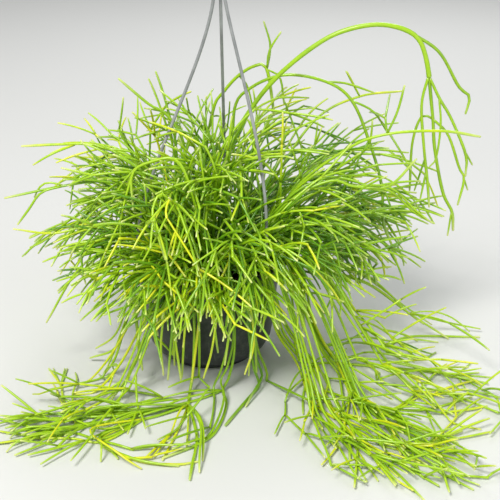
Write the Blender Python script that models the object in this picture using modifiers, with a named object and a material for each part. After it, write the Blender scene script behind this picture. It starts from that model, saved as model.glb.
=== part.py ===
# A mistletoe cactus in a plastic hanging pot, standing on a surface.
# Sizes below are in millimetres, and MM turns them into metres. +Z is up, and the
# origin is the middle of the pot's underside.

import math
import random

import bmesh
import bpy
import numpy as np
from mathutils import Vector

MM = 0.001
GAP = 0.3
MERGE = 0.00005

# Pot: a turned shell with a skirted rim and a stepped foot
RIM_R = 70.0
POT_TOP = 96.0
WALL = 1.4
SKIRT = 0.9
SKIRT_DROP = 6.5
FLANGE = 1.8
FOOT_R = 45.0
BODY = [(64.6, 90), (64.4, 70), (62, 40), (58.5, 17), (54, 9), (49, 6), (46, 5), (FOOT_R, 0)]
TURN_STEPS = 32
DRAIN_COUNT = 6
DRAIN_RING = 30.0
DRAIN_R = 3.5

# Soil: fills the pot to just under the rim
SOIL_TOP = [(0, 91), (25, 90), (45, 88), (58, 86)]
HOLE_FLOOR = 80.0
CROWN_TOP = 93.0

# Hanger: three strands that button through the rim and meet in a hub with a hook
STRAND_R = 1.4
STRAND_ANGLES = {"left": 198, "back": 78, "right": 318}
STRAND_BOW = {"left": (0.10, 75, 70), "back": (0.06, 90, 60), "right": (0.34, 90, 40)}
CLIP_RING = 66.7
BUTTON_R = 1.9
BUTTON_TALL = 1.8
HUB = (13.0, 0.0, 351.0)
HUB_R = 6.5
HUB_TALL = 9.0
SOCKET_RING = 3.6
SOCKET_DEEP = 5.0
HOOK_WIRE_R = 1.8
HOOK_R = 11.0
HOOK_RISE = 31.0

# Stems
TIP_R = 1.0
LEADER_R = 1.25
CLEAR = 0.8
FLOOR_CLEAR = 0.2
ALONG = 2.0
FORK_FREE = 5.0
CROWN_FREE = 11.0
SECTION = 1.15

# Crowns: where each clump of stems stands in the soil (x, y, radius)
CROWN_RING = 43.0
SIDES = ["right", "back_right", "back", "back_left", "left", "front_left"]
CROWNS = {
    "arching_stem": (10, 22, 3.2),
    "arching_stem_low": (-10, 24, 2.6),
    "arching_stem_right": (26, 14, 2.8),
    "trailing_left": (2, -47, 5.0),
    "trailing_right": (36, -34, 5.0),
    "stems_centre": (-2, 4, 11.0),
    "stems_front": (0, -24, 8.0),
    "stems_front_right": (20, -19, 7.0),
}
for index, side in enumerate(SIDES):
    turn = math.radians(45 * index)
    CROWNS["stems_" + side] = (CROWN_RING * math.cos(turn), CROWN_RING * math.sin(turn), 8.0)

# Routes of the stems that stand out, node by node: radius, then points
ROUTES = {
    "arching_stem": [
        (2.1, [(10, 22, 88), (14, 26, 150), (20, 28, 190), (40, 26, 229), (67, 22, 263),
               (108, 18, 295), (148, 14, 306), (178, 10, 299), (189, 8, 283), (194, 6, 263)]),
        (1.4, [(178, 10, 299), (203, 14, 282), (223, 18, 251), (234, 20, 241), (232, 20, 226)]),
        (1.3, [(194, 6, 264), (189, 4, 239), (193, 2, 203), (199, 0, 166), (202, 0, 144)]),
        (1.0, [(197, 1, 178), (192, -6, 152)]),
        (1.0, [(195, 1, 190), (189, 8, 157)]),
        (1.5, [(194, 6, 264), (198, 8, 240), (201, 8, 222), (205, 10, 195), (216, 12, 153), (226, 12, 134),
               (229, 14, 115)]),
        (1.0, [(226, 12, 135), (223, 8, 112)]),
        (1.2, [(201, 8, 224), (191, 10, 226), (185, 14, 200), (186, 16, 154)]),
        (1.2, [(201, 8, 224), (215, 6, 210), (227, 4, 180), (232, 2, 170), (228, 0, 146)]),
        (1.0, [(231, 2, 171), (237, 6, 158)]),
        (1.3, [(194, 6, 263), (204, 2, 244), (215, 0, 227), (230, -4, 195), (231, -6, 176)]),
        (1.0, [(227, -3, 200), (237, -2, 185)]),
        (1.0, [(203, 2, 245), (206, -2, 222), (204, -4, 192), (199, -4, 184)]),
    ],
    "arching_stem_low": [
        (1.5, [(-10, 24, 88), (-6, 48, 160), (4, 60, 218), (14, 60, 235), (28, 58, 251), (44, 55, 261),
               (54, 52, 258), (61, 50, 216)]),
        (1.0, [(54, 52, 258), (57, 56, 279), (51, 58, 300)]),
        (1.0, [(54, 52, 258), (66, 54, 250), (70, 54, 226)]),
        (1.0, [(54, 52, 258), (56, 48, 276), (66, 46, 293)]),
        (1.0, [(28, 58, 251), (36, 62, 240), (42, 66, 214)]),
    ],
    "arching_stem_right": [
        (1.4, [(26, 14, 88), (24, 36, 160), (24, 44, 222), (40, 42, 244), (71, 36, 257), (107, 30, 252),
               (130, 26, 236), (147, 22, 199), (160, 16, 158), (162, 8, 126), (171, 2, 104)]),
        (1.1, [(107, 30, 252), (126, 40, 248), (152, 46, 238)]),
        (1.0, [(130, 26, 236), (150, 24, 226), (164, 22, 206)]),
        (1.0, [(147, 22, 200), (134, 14, 176), (130, 10, 150)]),
    ],
    "stems_right": [
        (1.3, [(43, 0, 90), (76, -12, 162), (122, -18, 204), (156, -24, 220), (202, -28, 224),
               (235, -28, 219)]),
        (1.1, [(156, -24, 220), (164, -22, 239), (169, -20, 261)]),
        (1.1, [(43, 0, 90), (84, 16, 118), (128, 22, 136), (175, 34, 145), (196, 38, 143)]),
    ],
    "stems_front_right": [
        (1.2, [(20, -19, 90), (70, -40, 162), (107, -42, 184), (127, -45, 180), (156, -50, 182),
               (178, -50, 206)]),
        (1.1, [(127, -45, 180), (158, -38, 174), (183, -36, 152), (200, -38, 143)]),
    ],
    "stems_back_right": [
        (1.2, [(30, 30, 90), (66, 50, 160), (102, 66, 208), (142, 70, 228), (181, 70, 233)]),
        (1.0, [(142, 70, 228), (129, 66, 252)]),
        (1.1, [(30, 30, 90), (100, 46, 172), (150, 52, 181), (189, 56, 177)]),
    ],
    "stems_left": [
        (1.3, [(-43, 0, 90), (-62, 8, 178), (-101, 12, 198), (-132, 16, 198), (-169, 20, 195)]),
        (1.0, [(-120, 14, 198), (-140, 6, 192), (-157, 6, 182)]),
        (1.2, [(-43, 0, 90), (-70, -6, 158), (-93, -6, 170), (-128, -8, 167), (-182, -10, 156)]),
        (1.1, [(-128, -8, 167), (-148, -12, 162), (-160, -14, 147), (-171, -16, 133)]),
        (1.3, [(-43, 0, 90), (-30, -2, 150), (-20, 4, 198), (-34, 2, 229), (-50, 0, 240), (-74, -4, 263)]),
        (1.1, [(-43, 0, 90), (-96, -12, 128), (-140, -16, 124), (-174, -20, 130)]),
        (1.0, [(-140, -16, 124), (-160, -6, 108), (-174, 0, 94)]),
    ],
    "stems_back_left": [
        (1.2, [(-30, 30, 90), (-30, 40, 180), (-35, 41, 214), (-42, 44, 242), (-47, 46, 257)]),
        (1.1, [(-30, 30, 90), (-63, 50, 168), (-96, 56, 172), (-125, 60, 171)]),
        (1.1, [(-30, 30, 90), (-92, 44, 128), (-140, 40, 112), (-174, 34, 98)]),
    ],
    "stems_front_left": [
        (1.2, [(-30, -30, 90), (-52, -26, 152), (-72, -24, 175), (-110, -26, 186), (-125, -26, 190)]),
        (1.1, [(-30, -30, 90), (-76, -50, 122), (-112, -46, 104), (-147, -44, 48)]),
        (1.1, [(-76, -50, 122), (-110, -62, 106), (-129, -64, 88)]),
        (1.2, [(-30, -30, 90), (-58, -50, 100), (-72, -54, 60), (-88, -50, 16), (-113, -36, 1.4)]),
        (1.1, [(-72, -54, 60), (-84, -62, 22), (-96, -60, 1.4)]),
    ],
    "stems_front": [
        (1.2, [(0, -24, 90), (-8, -46, 160), (-22, -44, 202), (-46, -42, 201), (-62, -42, 190),
               (-62, -48, 160)]),
        (1.2, [(0, -24, 90), (-18, -60, 150), (-34, -68, 182), (-42, -76, 172), (-40, -84, 160),
               (-32, -90, 132)]),
        (1.2, [(0, -24, 90), (14, -62, 118), (-4, -84, 98), (-20, -92, 66)]),
        (1.1, [(0, -24, 90), (-14, -56, 122), (-30, -84, 100), (-38, -94, 58), (-37, -96, 24)]),
        (1.1, [(0, -24, 90), (8, -58, 126), (12, -88, 100), (6, -98, 52), (-2, -98, 22)]),
        (1.1, [(0, -24, 90), (20, -56, 122), (36, -84, 96), (42, -94, 56), (34, -98, 26)]),
    ],
    "trailing_left": [
        (1.5, [(2, -47, 88), (-6, -60, 108), (-11, -72, 105), (-10, -79, 60), (-12, -82, 20),
               (-15, -93, 2.5), (-15, -112, 2.2)]),
        (1.2, [(-15, -110, 2.2), (-40, -115, 1.6), (-67, -116, 1.4), (-91, -122, 1.4)]),
        (1.1, [(-67, -116, 1.4), (-99, -127, 1.4), (-123, -163, 1.4)]),
        (1.2, [(-15, -111, 2.2), (-52, -131, 1.4), (-92, -136, 1.4), (-109, -140, 1.4)]),
        (1.1, [(-107, -139, 1.4), (-124, -104, 1.4), (-132, -77, 1.4), (-148, -48, 1.4)]),
        (1.0, [(-132, -78, 1.4), (-131, -48, 1.4)]),
        (1.1, [(-52, -131, 1.4), (-82, -159, 1.4), (-110, -150, 1.4), (-149, -146, 1.4)]),
        (1.1, [(-106, -150, 1.4), (-147, -160, 1.4), (-166, -165, 1.4)]),
        (1.1, [(-52, -131, 1.4), (-85, -162, 1.4), (-53, -188, 1.4), (-21, -194, 1.4), (-3, -190, 1.4)]),
        (1.1, [(-85, -162, 1.4), (-72, -178, 1.4), (-67, -186, 1.4)]),
        (1.4, [(-15, -110, 2.2), (-8, -140, 1.8), (-5, -163, 1.7), (-7, -194, 1.7), (-8, -213, 1.7)]),
        (1.1, [(-15, -110, 2.2), (-22, -148, 1.4), (-31, -188, 1.4)]),
        (1.3, [(2, -47, 90), (13, -61, 108), (22, -72, 103), (25, -80, 46), (20, -82, 14), (14, -86, 2),
               (18, -107, 1.6), (13, -139, 1.6), (2, -162, 1.6), (-31, -186, 1.6)]),
        (1.1, [(14, -86, 2), (-6, -100, 1.6), (-27, -110, 1.6), (-46, -118, 1.6)]),
        (1.2, [(2, -47, 90), (-20, -66, 107), (-44, -80, 70), (-66, -90, 24), (-84, -104, 1.4)]),
        (1.2, [(2, -47, 90), (-26, -64, 110), (-54, -74, 66), (-78, -82, 24), (-100, -88, 1.4),
               (-118, -92, 1.4)]),
        (1.0, [(-78, -82, 24), (-92, -72, 6), (-100, -58, 1.4)]),
        (1.4, [(13, -61, 108), (31, -68, 105), (40, -76, 30), (46, -74, 5), (46, -80, 2), (38, -97, 1.7),
               (29, -116, 1.7), (18, -140, 1.7)]),
    ],
    "trailing_right": [
        (1.4, [(36, -34, 88), (46, -49, 108), (54, -62, 99), (68, -52, 44), (86, -44, 14), (95, -42, 1.9),
               (104, -86, 1.6), (118, -157, 1.5), (118, -188, 1.5)]),
        (1.1, [(95, -44, 1.9), (86, -90, 1.5), (84, -122, 1.4)]),
        (1.1, [(91, -66, 1.5), (94, -122, 1.4)]),
        (1.3, [(95, -42, 1.9), (114, -38, 1.6), (186, -50, 1.5), (230, -59, 1.5)]),
        (1.0, [(228, -59, 1.4), (249, -55, 1.4)]),
        (1.0, [(228, -59, 1.4), (247, -77, 1.4)]),
        (1.0, [(228, -59, 1.4), (232, -87, 1.4)]),
        (1.0, [(116, -146, 1.4), (137, -214, 1.4)]),
        (1.1, [(110, -112, 1.5), (125, -143, 1.4), (158, -174, 1.4), (196, -158, 1.4), (215, -148, 1.4)]),
        (1.1, [(125, -143, 1.5), (141, -179, 1.4), (169, -238, 1.4)]),
        (1.0, [(156, -173, 1.4), (187, -204, 1.4), (208, -225, 1.4)]),
        (1.4, [(36, -34, 90), (54, -36, 116), (69, -42, 112), (90, -48, 56), (106, -46, 20),
               (121, -50, 1.9), (129, -92, 1.6), (135, -119, 1.6)]),
        (1.2, [(36, -34, 90), (62, -26, 124), (94, -34, 104), (132, -52, 58), (164, -72, 20),
               (190, -92, 1.4)]),
        (1.2, [(36, -34, 90), (62, -48, 120), (94, -66, 82), (120, -86, 30), (138, -112, 1.4),
               (162, -142, 1.4)]),
        (1.2, [(36, -34, 90), (58, -56, 112), (82, -80, 66), (98, -102, 18), (106, -130, 1.4),
               (128, -168, 1.4)]),
        (1.0, [(132, -52, 58), (160, -44, 40), (188, -40, 14)]),
        (1.0, [(120, -86, 30), (148, -90, 14), (172, -104, 1.4)]),
        (1.1, [(104, -46, 24), (140, -14, 10), (171, -7, 1.8), (195, 13, 1.4), (264, 12, 1.4)]),
        (1.1, [(69, -42, 112), (110, -20, 88), (150, -2, 66), (193, 12, 28), (233, 9, 1.5)]),
        (1.0, [(193, 12, 28), (235, 22, 12), (267, 22, 5)]),
        (1.1, [(160, -10, 5), (193, -48, 1.5), (208, -84, 1.4), (225, -94, 1.4)]),
        (1.0, [(182, 2, 1.7), (199, -30, 1.4), (216, -18, 1.4)]),
        (1.1, [(134, -117, 1.6), (161, -116, 1.4), (186, -92, 1.4), (205, -85, 1.4)]),
        (1.1, [(161, -116, 1.5), (191, -116, 1.4), (234, -96, 1.4)]),
        (1.0, [(190, -116, 1.4), (200, -152, 1.4)]),
        (1.1, [(129, -92, 1.6), (158, -124, 1.4), (208, -166, 1.4)]),
        (1.0, [(158, -124, 1.4), (185, -176, 1.4), (190, -224, 1.4)]),
    ],
}

# Random stems of each clump: seed, first stems, reach, lowest and highest rise in degrees
CLUMPS = {
    "stems_right": (17, 9, 88, 2, 58),
    "stems_back_right": (23, 7, 86, 5, 60),
    "stems_back": (31, 8, 80, 0, 58),
    "stems_back_left": (47, 8, 80, 0, 56),
    "stems_left": (59, 8, 80, 0, 54),
    "stems_front_left": (61, 8, 80, -5, 58),
    "stems_front": (73, 7, 78, -10, 60),
    "stems_front_right": (83, 8, 84, -5, 60),
    "stems_centre": (97, 8, 74, 40, 86),
}
SPREAD = 26.0
LOWEST_RISE = 0.45
STEPS = 8
SWAY = 0.10
SINK = 0.6
LEAN = (0.28, 0.62)
WANDER = 0.12
WANDER_MORE = 0.09
FIRST_REACH = (0.80, 1.15)
LATER_REACH = (0.75, 1.15)
DROOP = {1: 0.75, 2: 0.50, 3: 0.30}
SHARE = {1: 1.0, 2: 0.56, 3: 0.40}
FORKS = {1: (2, 3), 2: (1, 2)}
TRIES = 8

PALE = ["stems_front", "trailing_left", "trailing_right"]
COLOURS = {
    "pot": ((0.018, 0.022, 0.025, 1), 0.42),
    "soil": ((0.03, 0.018, 0.010, 1), 0.95),
    "hanger": ((0.30, 0.32, 0.32, 1), 0.40),
    "stem": ((0.22, 0.42, 0.03, 1), 0.38),
    "pale": ((0.42, 0.55, 0.04, 1), 0.38),
}


def clear_scene():
    for item in list(bpy.data.objects):
        bpy.data.objects.remove(item, do_unlink=True)


def collection(name):
    made = bpy.data.collections.new(name)
    bpy.context.scene.collection.children.link(made)
    return made


def material(name):
    colour, rough = COLOURS[name]
    made = bpy.data.materials.new(name)
    made.use_nodes = True
    surface = made.node_tree.nodes["Principled BSDF"]
    surface.inputs["Base Color"].default_value = colour
    surface.inputs["Roughness"].default_value = rough
    surface.inputs["Metallic"].default_value = 0.0
    made.diffuse_color = colour
    return made


def place(name, mesh, group, look=None):
    made = bpy.data.objects.new(name, mesh)
    group.objects.link(made)
    if look:
        mesh.materials.clear()
        mesh.materials.append(look)
    return made


def turned(name, profile, group, look=None, middle=(0, 0)):
    mesh = bpy.data.meshes.new(name)
    points = [(r * MM, 0, z * MM) for r, z in profile]
    mesh.from_pydata(points, [(i, i + 1) for i in range(len(points) - 1)], [])
    made = place(name, mesh, group, look)
    made.location = (middle[0] * MM, middle[1] * MM, 0)
    screw = made.modifiers.new("Turn", "SCREW")
    screw.axis = "Z"
    screw.steps = TURN_STEPS
    screw.render_steps = TURN_STEPS
    screw.use_merge_vertices = True
    screw.merge_threshold = MERGE
    return made


def upright(name, x, y, low, high, radius, group, sides=8):
    mesh = bpy.data.meshes.new(name)
    cage = bmesh.new()
    bmesh.ops.create_cone(cage, cap_ends=True, segments=sides, radius1=radius * MM,
                          radius2=radius * MM, depth=(high - low) * MM)
    cage.to_mesh(mesh)
    cage.free()
    made = place(name, mesh, group)
    made.location = (x * MM, y * MM, (low + high) / 2 * MM)
    return made


def as_cutter(item):
    item.hide_render = True
    item.display_type = "WIRE"
    return item


def cut(item, cutters, name):
    boolean = item.modifiers.new(name, "BOOLEAN")
    boolean.operation = "DIFFERENCE"
    boolean.operand_type = "COLLECTION"
    boolean.collection = cutters
    boolean.solver = "EXACT"
    return boolean


def tube(name, points, radii, group, section=None, resolution=2, tilt=0.0):
    curve = bpy.data.curves.new(name, "CURVE")
    curve.dimensions = "3D"
    curve.use_fill_caps = True
    if section:
        curve.bevel_mode = "OBJECT"
        curve.bevel_object = section
    else:
        curve.bevel_depth = MM
        curve.bevel_resolution = resolution
    spline = curve.splines.new("POLY")
    spline.points.add(len(points) - 1)
    for knot, point, radius in zip(spline.points, points, radii):
        knot.co = (point[0] * MM, point[1] * MM, point[2] * MM, 1)
        knot.radius = radius
        knot.tilt = tilt
    made = bpy.data.objects.new(name, curve)
    group.objects.link(made)
    return made


def solid_meshes(curves, group):
    bpy.context.view_layer.update()
    graph = bpy.context.evaluated_depsgraph_get()
    made = []
    for item in curves:
        mesh = bpy.data.meshes.new_from_object(item.evaluated_get(graph))
        cage = bmesh.new()
        cage.from_mesh(mesh)
        bmesh.ops.remove_doubles(cage, verts=cage.verts, dist=1e-6)
        bmesh.ops.recalc_face_normals(cage, faces=cage.faces)
        cage.to_mesh(mesh)
        cage.free()
        solid = bpy.data.objects.new(item.name + "_solid", mesh)
        group.objects.link(solid)
        solid.matrix_world = item.matrix_world
        made.append(solid)
    for item in curves:
        bpy.data.objects.remove(item, do_unlink=True)
    return made


def largest_body(mesh):
    cage = bmesh.new()
    cage.from_mesh(mesh)
    cage.faces.ensure_lookup_table()
    left = set(cage.faces)
    bodies = []
    while left:
        todo = [left.pop()]
        body = list(todo)
        while todo:
            face = todo.pop()
            for edge in face.edges:
                for near in edge.link_faces:
                    if near in left:
                        left.remove(near)
                        todo.append(near)
                        body.append(near)
        bodies.append(body)
    bodies.sort(key=len)
    for body in bodies[:-1]:
        bmesh.ops.delete(cage, geom=body, context="FACES")
    cage.to_mesh(mesh)
    cage.free()
    return len(bodies)


def fused(name, base, pieces, look, group, solver):
    holder = bpy.data.collections.new(name + "_pieces")
    bpy.context.scene.collection.children.link(holder)
    for piece in pieces:
        for owner in list(piece.users_collection):
            owner.objects.unlink(piece)
        holder.objects.link(piece)
    union = base.modifiers.new("Fuse", "BOOLEAN")
    union.operation = "UNION"
    union.operand_type = "COLLECTION"
    union.collection = holder
    union.solver = solver
    bpy.context.view_layer.update()
    graph = bpy.context.evaluated_depsgraph_get()
    mesh = bpy.data.meshes.new_from_object(base.evaluated_get(graph))
    mesh.transform(base.matrix_world)
    bodies = largest_body(mesh)
    for piece in list(pieces) + [base]:
        bpy.data.objects.remove(piece, do_unlink=True)
    bpy.data.collections.remove(holder)
    made = place(name, mesh, group, look)
    print("fused", name, len(mesh.polygons), "faces,", bodies, "bodies")
    return made


def inner_wall():
    inside = [(radius - WALL, height + (WALL if height < 20 else 0)) for radius, height in BODY[:-1]]
    inside.append((FOOT_R - WALL, WALL))
    return inside


def pot(group, look):
    outside = [(RIM_R, POT_TOP), (RIM_R, POT_TOP - SKIRT_DROP), (RIM_R - SKIRT, POT_TOP - SKIRT_DROP),
               (RIM_R - SKIRT, POT_TOP - FLANGE), (BODY[0][0], POT_TOP - FLANGE)]
    inside = list(reversed(inner_wall()))
    profile = [(0, WALL)] + inside + [(BODY[0][0] - WALL, POT_TOP)] + outside + BODY + [(0, 0)]
    made = turned("pot", profile, group, look)
    holes = collection("pot_holes")
    for number in range(DRAIN_COUNT):
        angle = math.tau * (number + 0.5) / DRAIN_COUNT
        as_cutter(upright("drain", DRAIN_RING * math.cos(angle), DRAIN_RING * math.sin(angle), -2, 6,
                          DRAIN_R, holes, 10))
    for angle in STRAND_ANGLES.values():
        turn = math.radians(angle)
        as_cutter(upright("clip_hole", CLIP_RING * math.cos(turn), CLIP_RING * math.sin(turn),
                          POT_TOP - FLANGE - 1, POT_TOP + 1, STRAND_R + GAP + 0.1, holes, 12))
    cut(made, holes, "Holes")
    return made


def soil(group, look):
    wall = [(radius - GAP - 0.1, height + (GAP if height < 20 else 0)) for radius, height in inner_wall()]
    wall = [point for point in wall if point[1] < 84]
    edge = (BODY[0][0] - WALL - GAP - 0.1, 85)
    profile = SOIL_TOP + [edge] + wall + [(0, wall[-1][1])]
    made = turned("soil", profile, group, look)
    holes = collection("soil_holes")
    for name, (x, y, radius) in CROWNS.items():
        as_cutter(upright("hole", x, y, HOLE_FLOOR, POT_TOP + 9, radius + GAP + 0.2, holes))
    cut(made, holes, "Holes")
    return made


def strand_points(side):
    turn = math.radians(STRAND_ANGLES[side])
    out = Vector((math.cos(turn), math.sin(turn), 0))
    flange = POT_TOP - FLANGE
    low = out * CLIP_RING
    foot = [low + Vector((0, 0, flange - GAP - 0.4 - BUTTON_TALL)),
            low + Vector((0, 0, flange - GAP - 0.4)),
            low + Vector((0, 0, flange - GAP)), low + Vector((0, 0, POT_TOP + 2))]
    radii = [BUTTON_R, BUTTON_R, STRAND_R, STRAND_R]
    hub = Vector(HUB)
    top = hub + out * SOCKET_RING
    bulge, rise, drop = STRAND_BOW[side]
    begin = low + Vector((0, 0, POT_TOP + 2))
    end = top - Vector((0, 0, 3))
    guide_low = begin + out * (CLIP_RING * bulge) + Vector((0, 0, rise))
    guide_high = end - Vector((0, 0, drop))
    bow = []
    for step in range(1, 10):
        t = step / 9
        bow.append(begin * (1 - t) ** 3 + guide_low * 3 * t * (1 - t) ** 2
                   + guide_high * 3 * t * t * (1 - t) + end * t ** 3)
    tip = top + Vector((0, 0, SOCKET_DEEP - GAP))
    points = foot + bow + [tip]
    return points, radii + [STRAND_R] * (len(points) - len(radii))


def strand(side, group, look):
    points, radii = strand_points(side)
    made = solid_meshes([tube("hanger_strand_" + side, points, radii, group, resolution=2)], group)[0]
    made.name = "hanger_strand_" + side
    made.data.materials.clear()
    made.data.materials.append(look)
    return made


def hook(group, look):
    x, y, z = HUB
    body = turned("hub", [(0, z + HUB_TALL), (HUB_R - 2, z + HUB_TALL), (HUB_R, z + HUB_TALL - 2),
                          (HUB_R, z), (0, z)], group)
    body.modifiers["Turn"].steps = 20
    body.modifiers["Turn"].render_steps = 20
    body.location = (x * MM, y * MM, 0)
    centre = z + HOOK_RISE
    points = [(x, y, z + HUB_TALL - 3), (x, y, z + HUB_TALL + 3)]
    for step in range(15):
        angle = math.radians(-75 + 290 * step / 14)
        points.append((x + HOOK_R * math.cos(angle), y, centre + HOOK_R * math.sin(angle)))
    wire = solid_meshes([tube("wire", points, [HOOK_WIRE_R] * len(points), group, resolution=2)], group)
    made = fused("hanger_hook", body, wire, look, group, "EXACT")
    sockets = collection("hub_sockets")
    for angle in STRAND_ANGLES.values():
        turn = math.radians(angle)
        as_cutter(upright("socket", x + SOCKET_RING * math.cos(turn), y + SOCKET_RING * math.sin(turn),
                          z - 2, z + SOCKET_DEEP, STRAND_R + GAP + 0.05, sockets))
    cut(made, sockets, "Sockets")
    return made


def sampled(points, gap=ALONG):
    found = []
    for a, b in zip(points[:-1], points[1:]):
        count = max(2, int((b - a).length / gap) + 1)
        for step in range(count):
            found.append(a.lerp(b, step / count))
    found.append(points[-1])
    return np.array([tuple(point) for point in found])


class Thicket:
    # Keeps every stem that stands, so that stems of two clumps never touch
    def __init__(self):
        self.starts = []
        self.ends = []
        self.radii = []
        self.owners = []

    def add(self, owner, points, radius):
        for a, b in zip(points[:-1], points[1:]):
            self.starts.append(tuple(a))
            self.ends.append(tuple(b))
            self.radii.append(radius)
            self.owners.append(owner)

    def gaps(self, spots, chosen):
        starts = np.array(self.starts)[chosen]
        along = np.array(self.ends)[chosen] - starts
        offset = spots[:, None, :] - starts[None]
        share = np.clip((offset * along).sum(2) / np.maximum((along * along).sum(1), 1e-9), 0, 1)
        near = starts[None] + share[..., None] * along[None]
        return np.linalg.norm(spots[:, None, :] - near, axis=2), near

    def room(self, owner, points, radius, own=False):
        spots = sampled(points)
        if own:
            spots = spots[np.linalg.norm(spots - spots[0], axis=1) > FORK_FREE]
        chosen = np.array([(name == owner) == own for name in self.owners], bool)
        if not chosen.any() or not len(spots):
            return 99.0
        apart, near = self.gaps(spots, chosen)
        return float((apart - np.array(self.radii)[chosen]).min()) - radius

    def seat(self, owner, point):
        # The nearest spot on the clump's own stems, where a side stem grows out
        chosen = np.array([name == owner for name in self.owners], bool)
        apart, near = self.gaps(np.array([tuple(point)]), chosen)
        return Vector(near[0, int(apart[0].argmin())])


def clear_of_pot(points, radius):
    spots = sampled(points)
    start = spots[0]
    for x, y, z in spots:
        out = math.hypot(x, y)
        if z > POT_TOP + radius + 1.5 or out > RIM_R + radius + 1.5:
            continue
        if z < POT_TOP - SKIRT_DROP and out > BODY[0][0] + radius + 2:
            continue
        if math.dist((x, y, z), start) < CROWN_FREE and z > SOIL_TOP[-1][1]:
            continue
        if out < BODY[0][0] - WALL - radius - 2 and z > CROWN_TOP + radius + CLEAR:
            continue
        return False
    return True


def smooth_route(points, per_span):
    knots = [Vector(point) for point in points]
    if len(knots) < 3 or per_span < 2:
        return knots
    padded = [knots[0] * 2 - knots[1]] + knots + [knots[-1] * 2 - knots[-2]]
    route = [knots[0]]
    for a, b, c, d in zip(padded, padded[1:], padded[2:], padded[3:]):
        for step in range(1, per_span + 1):
            t = step / per_span
            route.append((b * 2 + (c - a) * t + (a * 2 - b * 5 + c * 4 - d) * t * t
                          + (b * 3 - a - c * 3 + d) * t ** 3) / 2)
    return route


def bent_clear(thicket, owner, route, radius):
    # Lifts or swings the middle of a route until it passes its neighbours
    low = radius * SECTION + FLOOR_CLEAR
    last = len(route) - 1
    if owner in thicket.owners and math.dist(route[0][:2], CROWNS[owner][:2]) > CROWNS[owner][2]:
        route = [thicket.seat(owner, route[0])] + route[1:]
    for amount in range(0, 15, 2):
        for turn in range(8 if amount else 1):
            angle = math.tau * turn / 8
            shift = Vector((0.5 * math.cos(angle), math.cos(angle), math.sin(angle))) * amount
            bent = []
            for number, point in enumerate(route):
                weight = math.sin(math.pi * number / (last + 0.6)) if number else 0.0
                moved = point + shift * weight
                moved.z = max(moved.z, low)
                bent.append(moved)
            if thicket.room(owner, bent, radius) >= CLEAR and clear_of_pot(bent, radius):
                return bent
    print("no clear way for", owner, tuple(route[-1]))
    return bent


def drooping(start, heading, reach, droop, rng):
    # A stem that starts along its heading and bends over under its own weight
    spot = start.copy()
    way = heading.normalized()
    sway = Vector((rng.uniform(-1, 1), rng.uniform(-1, 1), 0)) * SWAY
    track = [spot.copy()]
    for count in range(STEPS):
        way = (way + Vector((0, 0, -droop / STEPS)) + sway / 4).normalized()
        spot = spot + way * (reach / STEPS)
        spot.z = max(spot.z, TIP_R + 0.4)
        track.append(spot.copy())
    return [track[0], track[STEPS // 2], track[STEPS]], way


def forked(way, lean, turn):
    side = way.cross(Vector((0.3, 0.2, 1))).normalized()
    up = way.cross(side).normalized()
    across = side * math.cos(turn) + up * math.sin(turn)
    return (way * math.cos(lean) + across * math.sin(lean)).normalized()


class Stem:
    # A stem with its points; carries_on is the stem whose tip it continues, if it does
    def __init__(self, radius, points, carries_on=None):
        self.radii = [radius] * len(points)
        self.points = points
        self.carries_on = carries_on


def grow(thicket, owner, start, heading, reach, order, rng, stems, carries_on=None):
    radius = LEADER_R if order == 1 else TIP_R + 0.1 * (3 - order)
    for attempt in range(TRIES):
        way = forked(heading, rng.uniform(0, WANDER + WANDER_MORE * attempt), rng.uniform(0, math.tau))
        points, last = drooping(start, way, reach, DROOP[order], rng)
        if not clear_of_pot(points, radius) or thicket.room(owner, points, radius) < CLEAR:
            continue
        if thicket.room(owner, points, radius, own=True) < CLEAR and attempt < TRIES - 2:
            continue
        thicket.add(owner, points, radius)
        stems.append(Stem(radius, points, carries_on))
        if order < 3:
            fork(thicket, owner, stems[-1], last, reach, order, rng, stems)
        return


def fork(thicket, owner, stem, way, reach, order, rng, stems):
    count = rng.choice(FORKS[order])
    first = rng.uniform(0, math.tau)
    for number in range(count):
        turn = first + math.tau * number / count
        heading = forked(way, rng.uniform(*LEAN), turn)
        length = reach / SHARE[order] * SHARE[order + 1] * rng.uniform(*LATER_REACH)
        grow(thicket, owner, stem.points[-1] - way * SINK, heading, length, order + 1, rng, stems,
             None if number else stem)


def clump(thicket, owner, stems):
    seed, count, reach, low, high = CLUMPS[owner]
    rng = random.Random(seed)
    x, y, spread = CROWNS[owner]
    middle = math.atan2(y, x) if math.hypot(x, y) > 10 else None
    for number in range(count):
        if middle is None:
            turn = math.tau * (number + rng.uniform(-0.3, 0.3)) / count
        else:
            turn = middle + math.radians(rng.uniform(-SPREAD, SPREAD))
        rise = math.radians(low + (high - low) * (number + rng.random()) / count)
        heading = Vector((math.cos(turn) * math.cos(rise), math.sin(turn) * math.cos(rise), math.sin(rise)))
        around = rng.uniform(0, math.tau)
        start = Vector((x + spread * 0.5 * math.cos(around), y + spread * 0.5 * math.sin(around),
                        CROWN_TOP - 2))
        heading.z = max(heading.z, LOWEST_RISE)
        grow(thicket, owner, start, heading, reach * rng.uniform(*FIRST_REACH), 1, rng, stems)


def triangle_section(group):
    curve = bpy.data.curves.new("section", "CURVE")
    spline = curve.splines.new("POLY")
    spline.points.add(2)
    spline.use_cyclic_u = True
    for number, knot in enumerate(spline.points):
        angle = math.tau * number / 3
        knot.co = (MM * math.cos(angle), MM * math.sin(angle), 0, 1)
    made = bpy.data.objects.new("section", curve)
    group.objects.link(made)
    return as_cutter(made)


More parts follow.
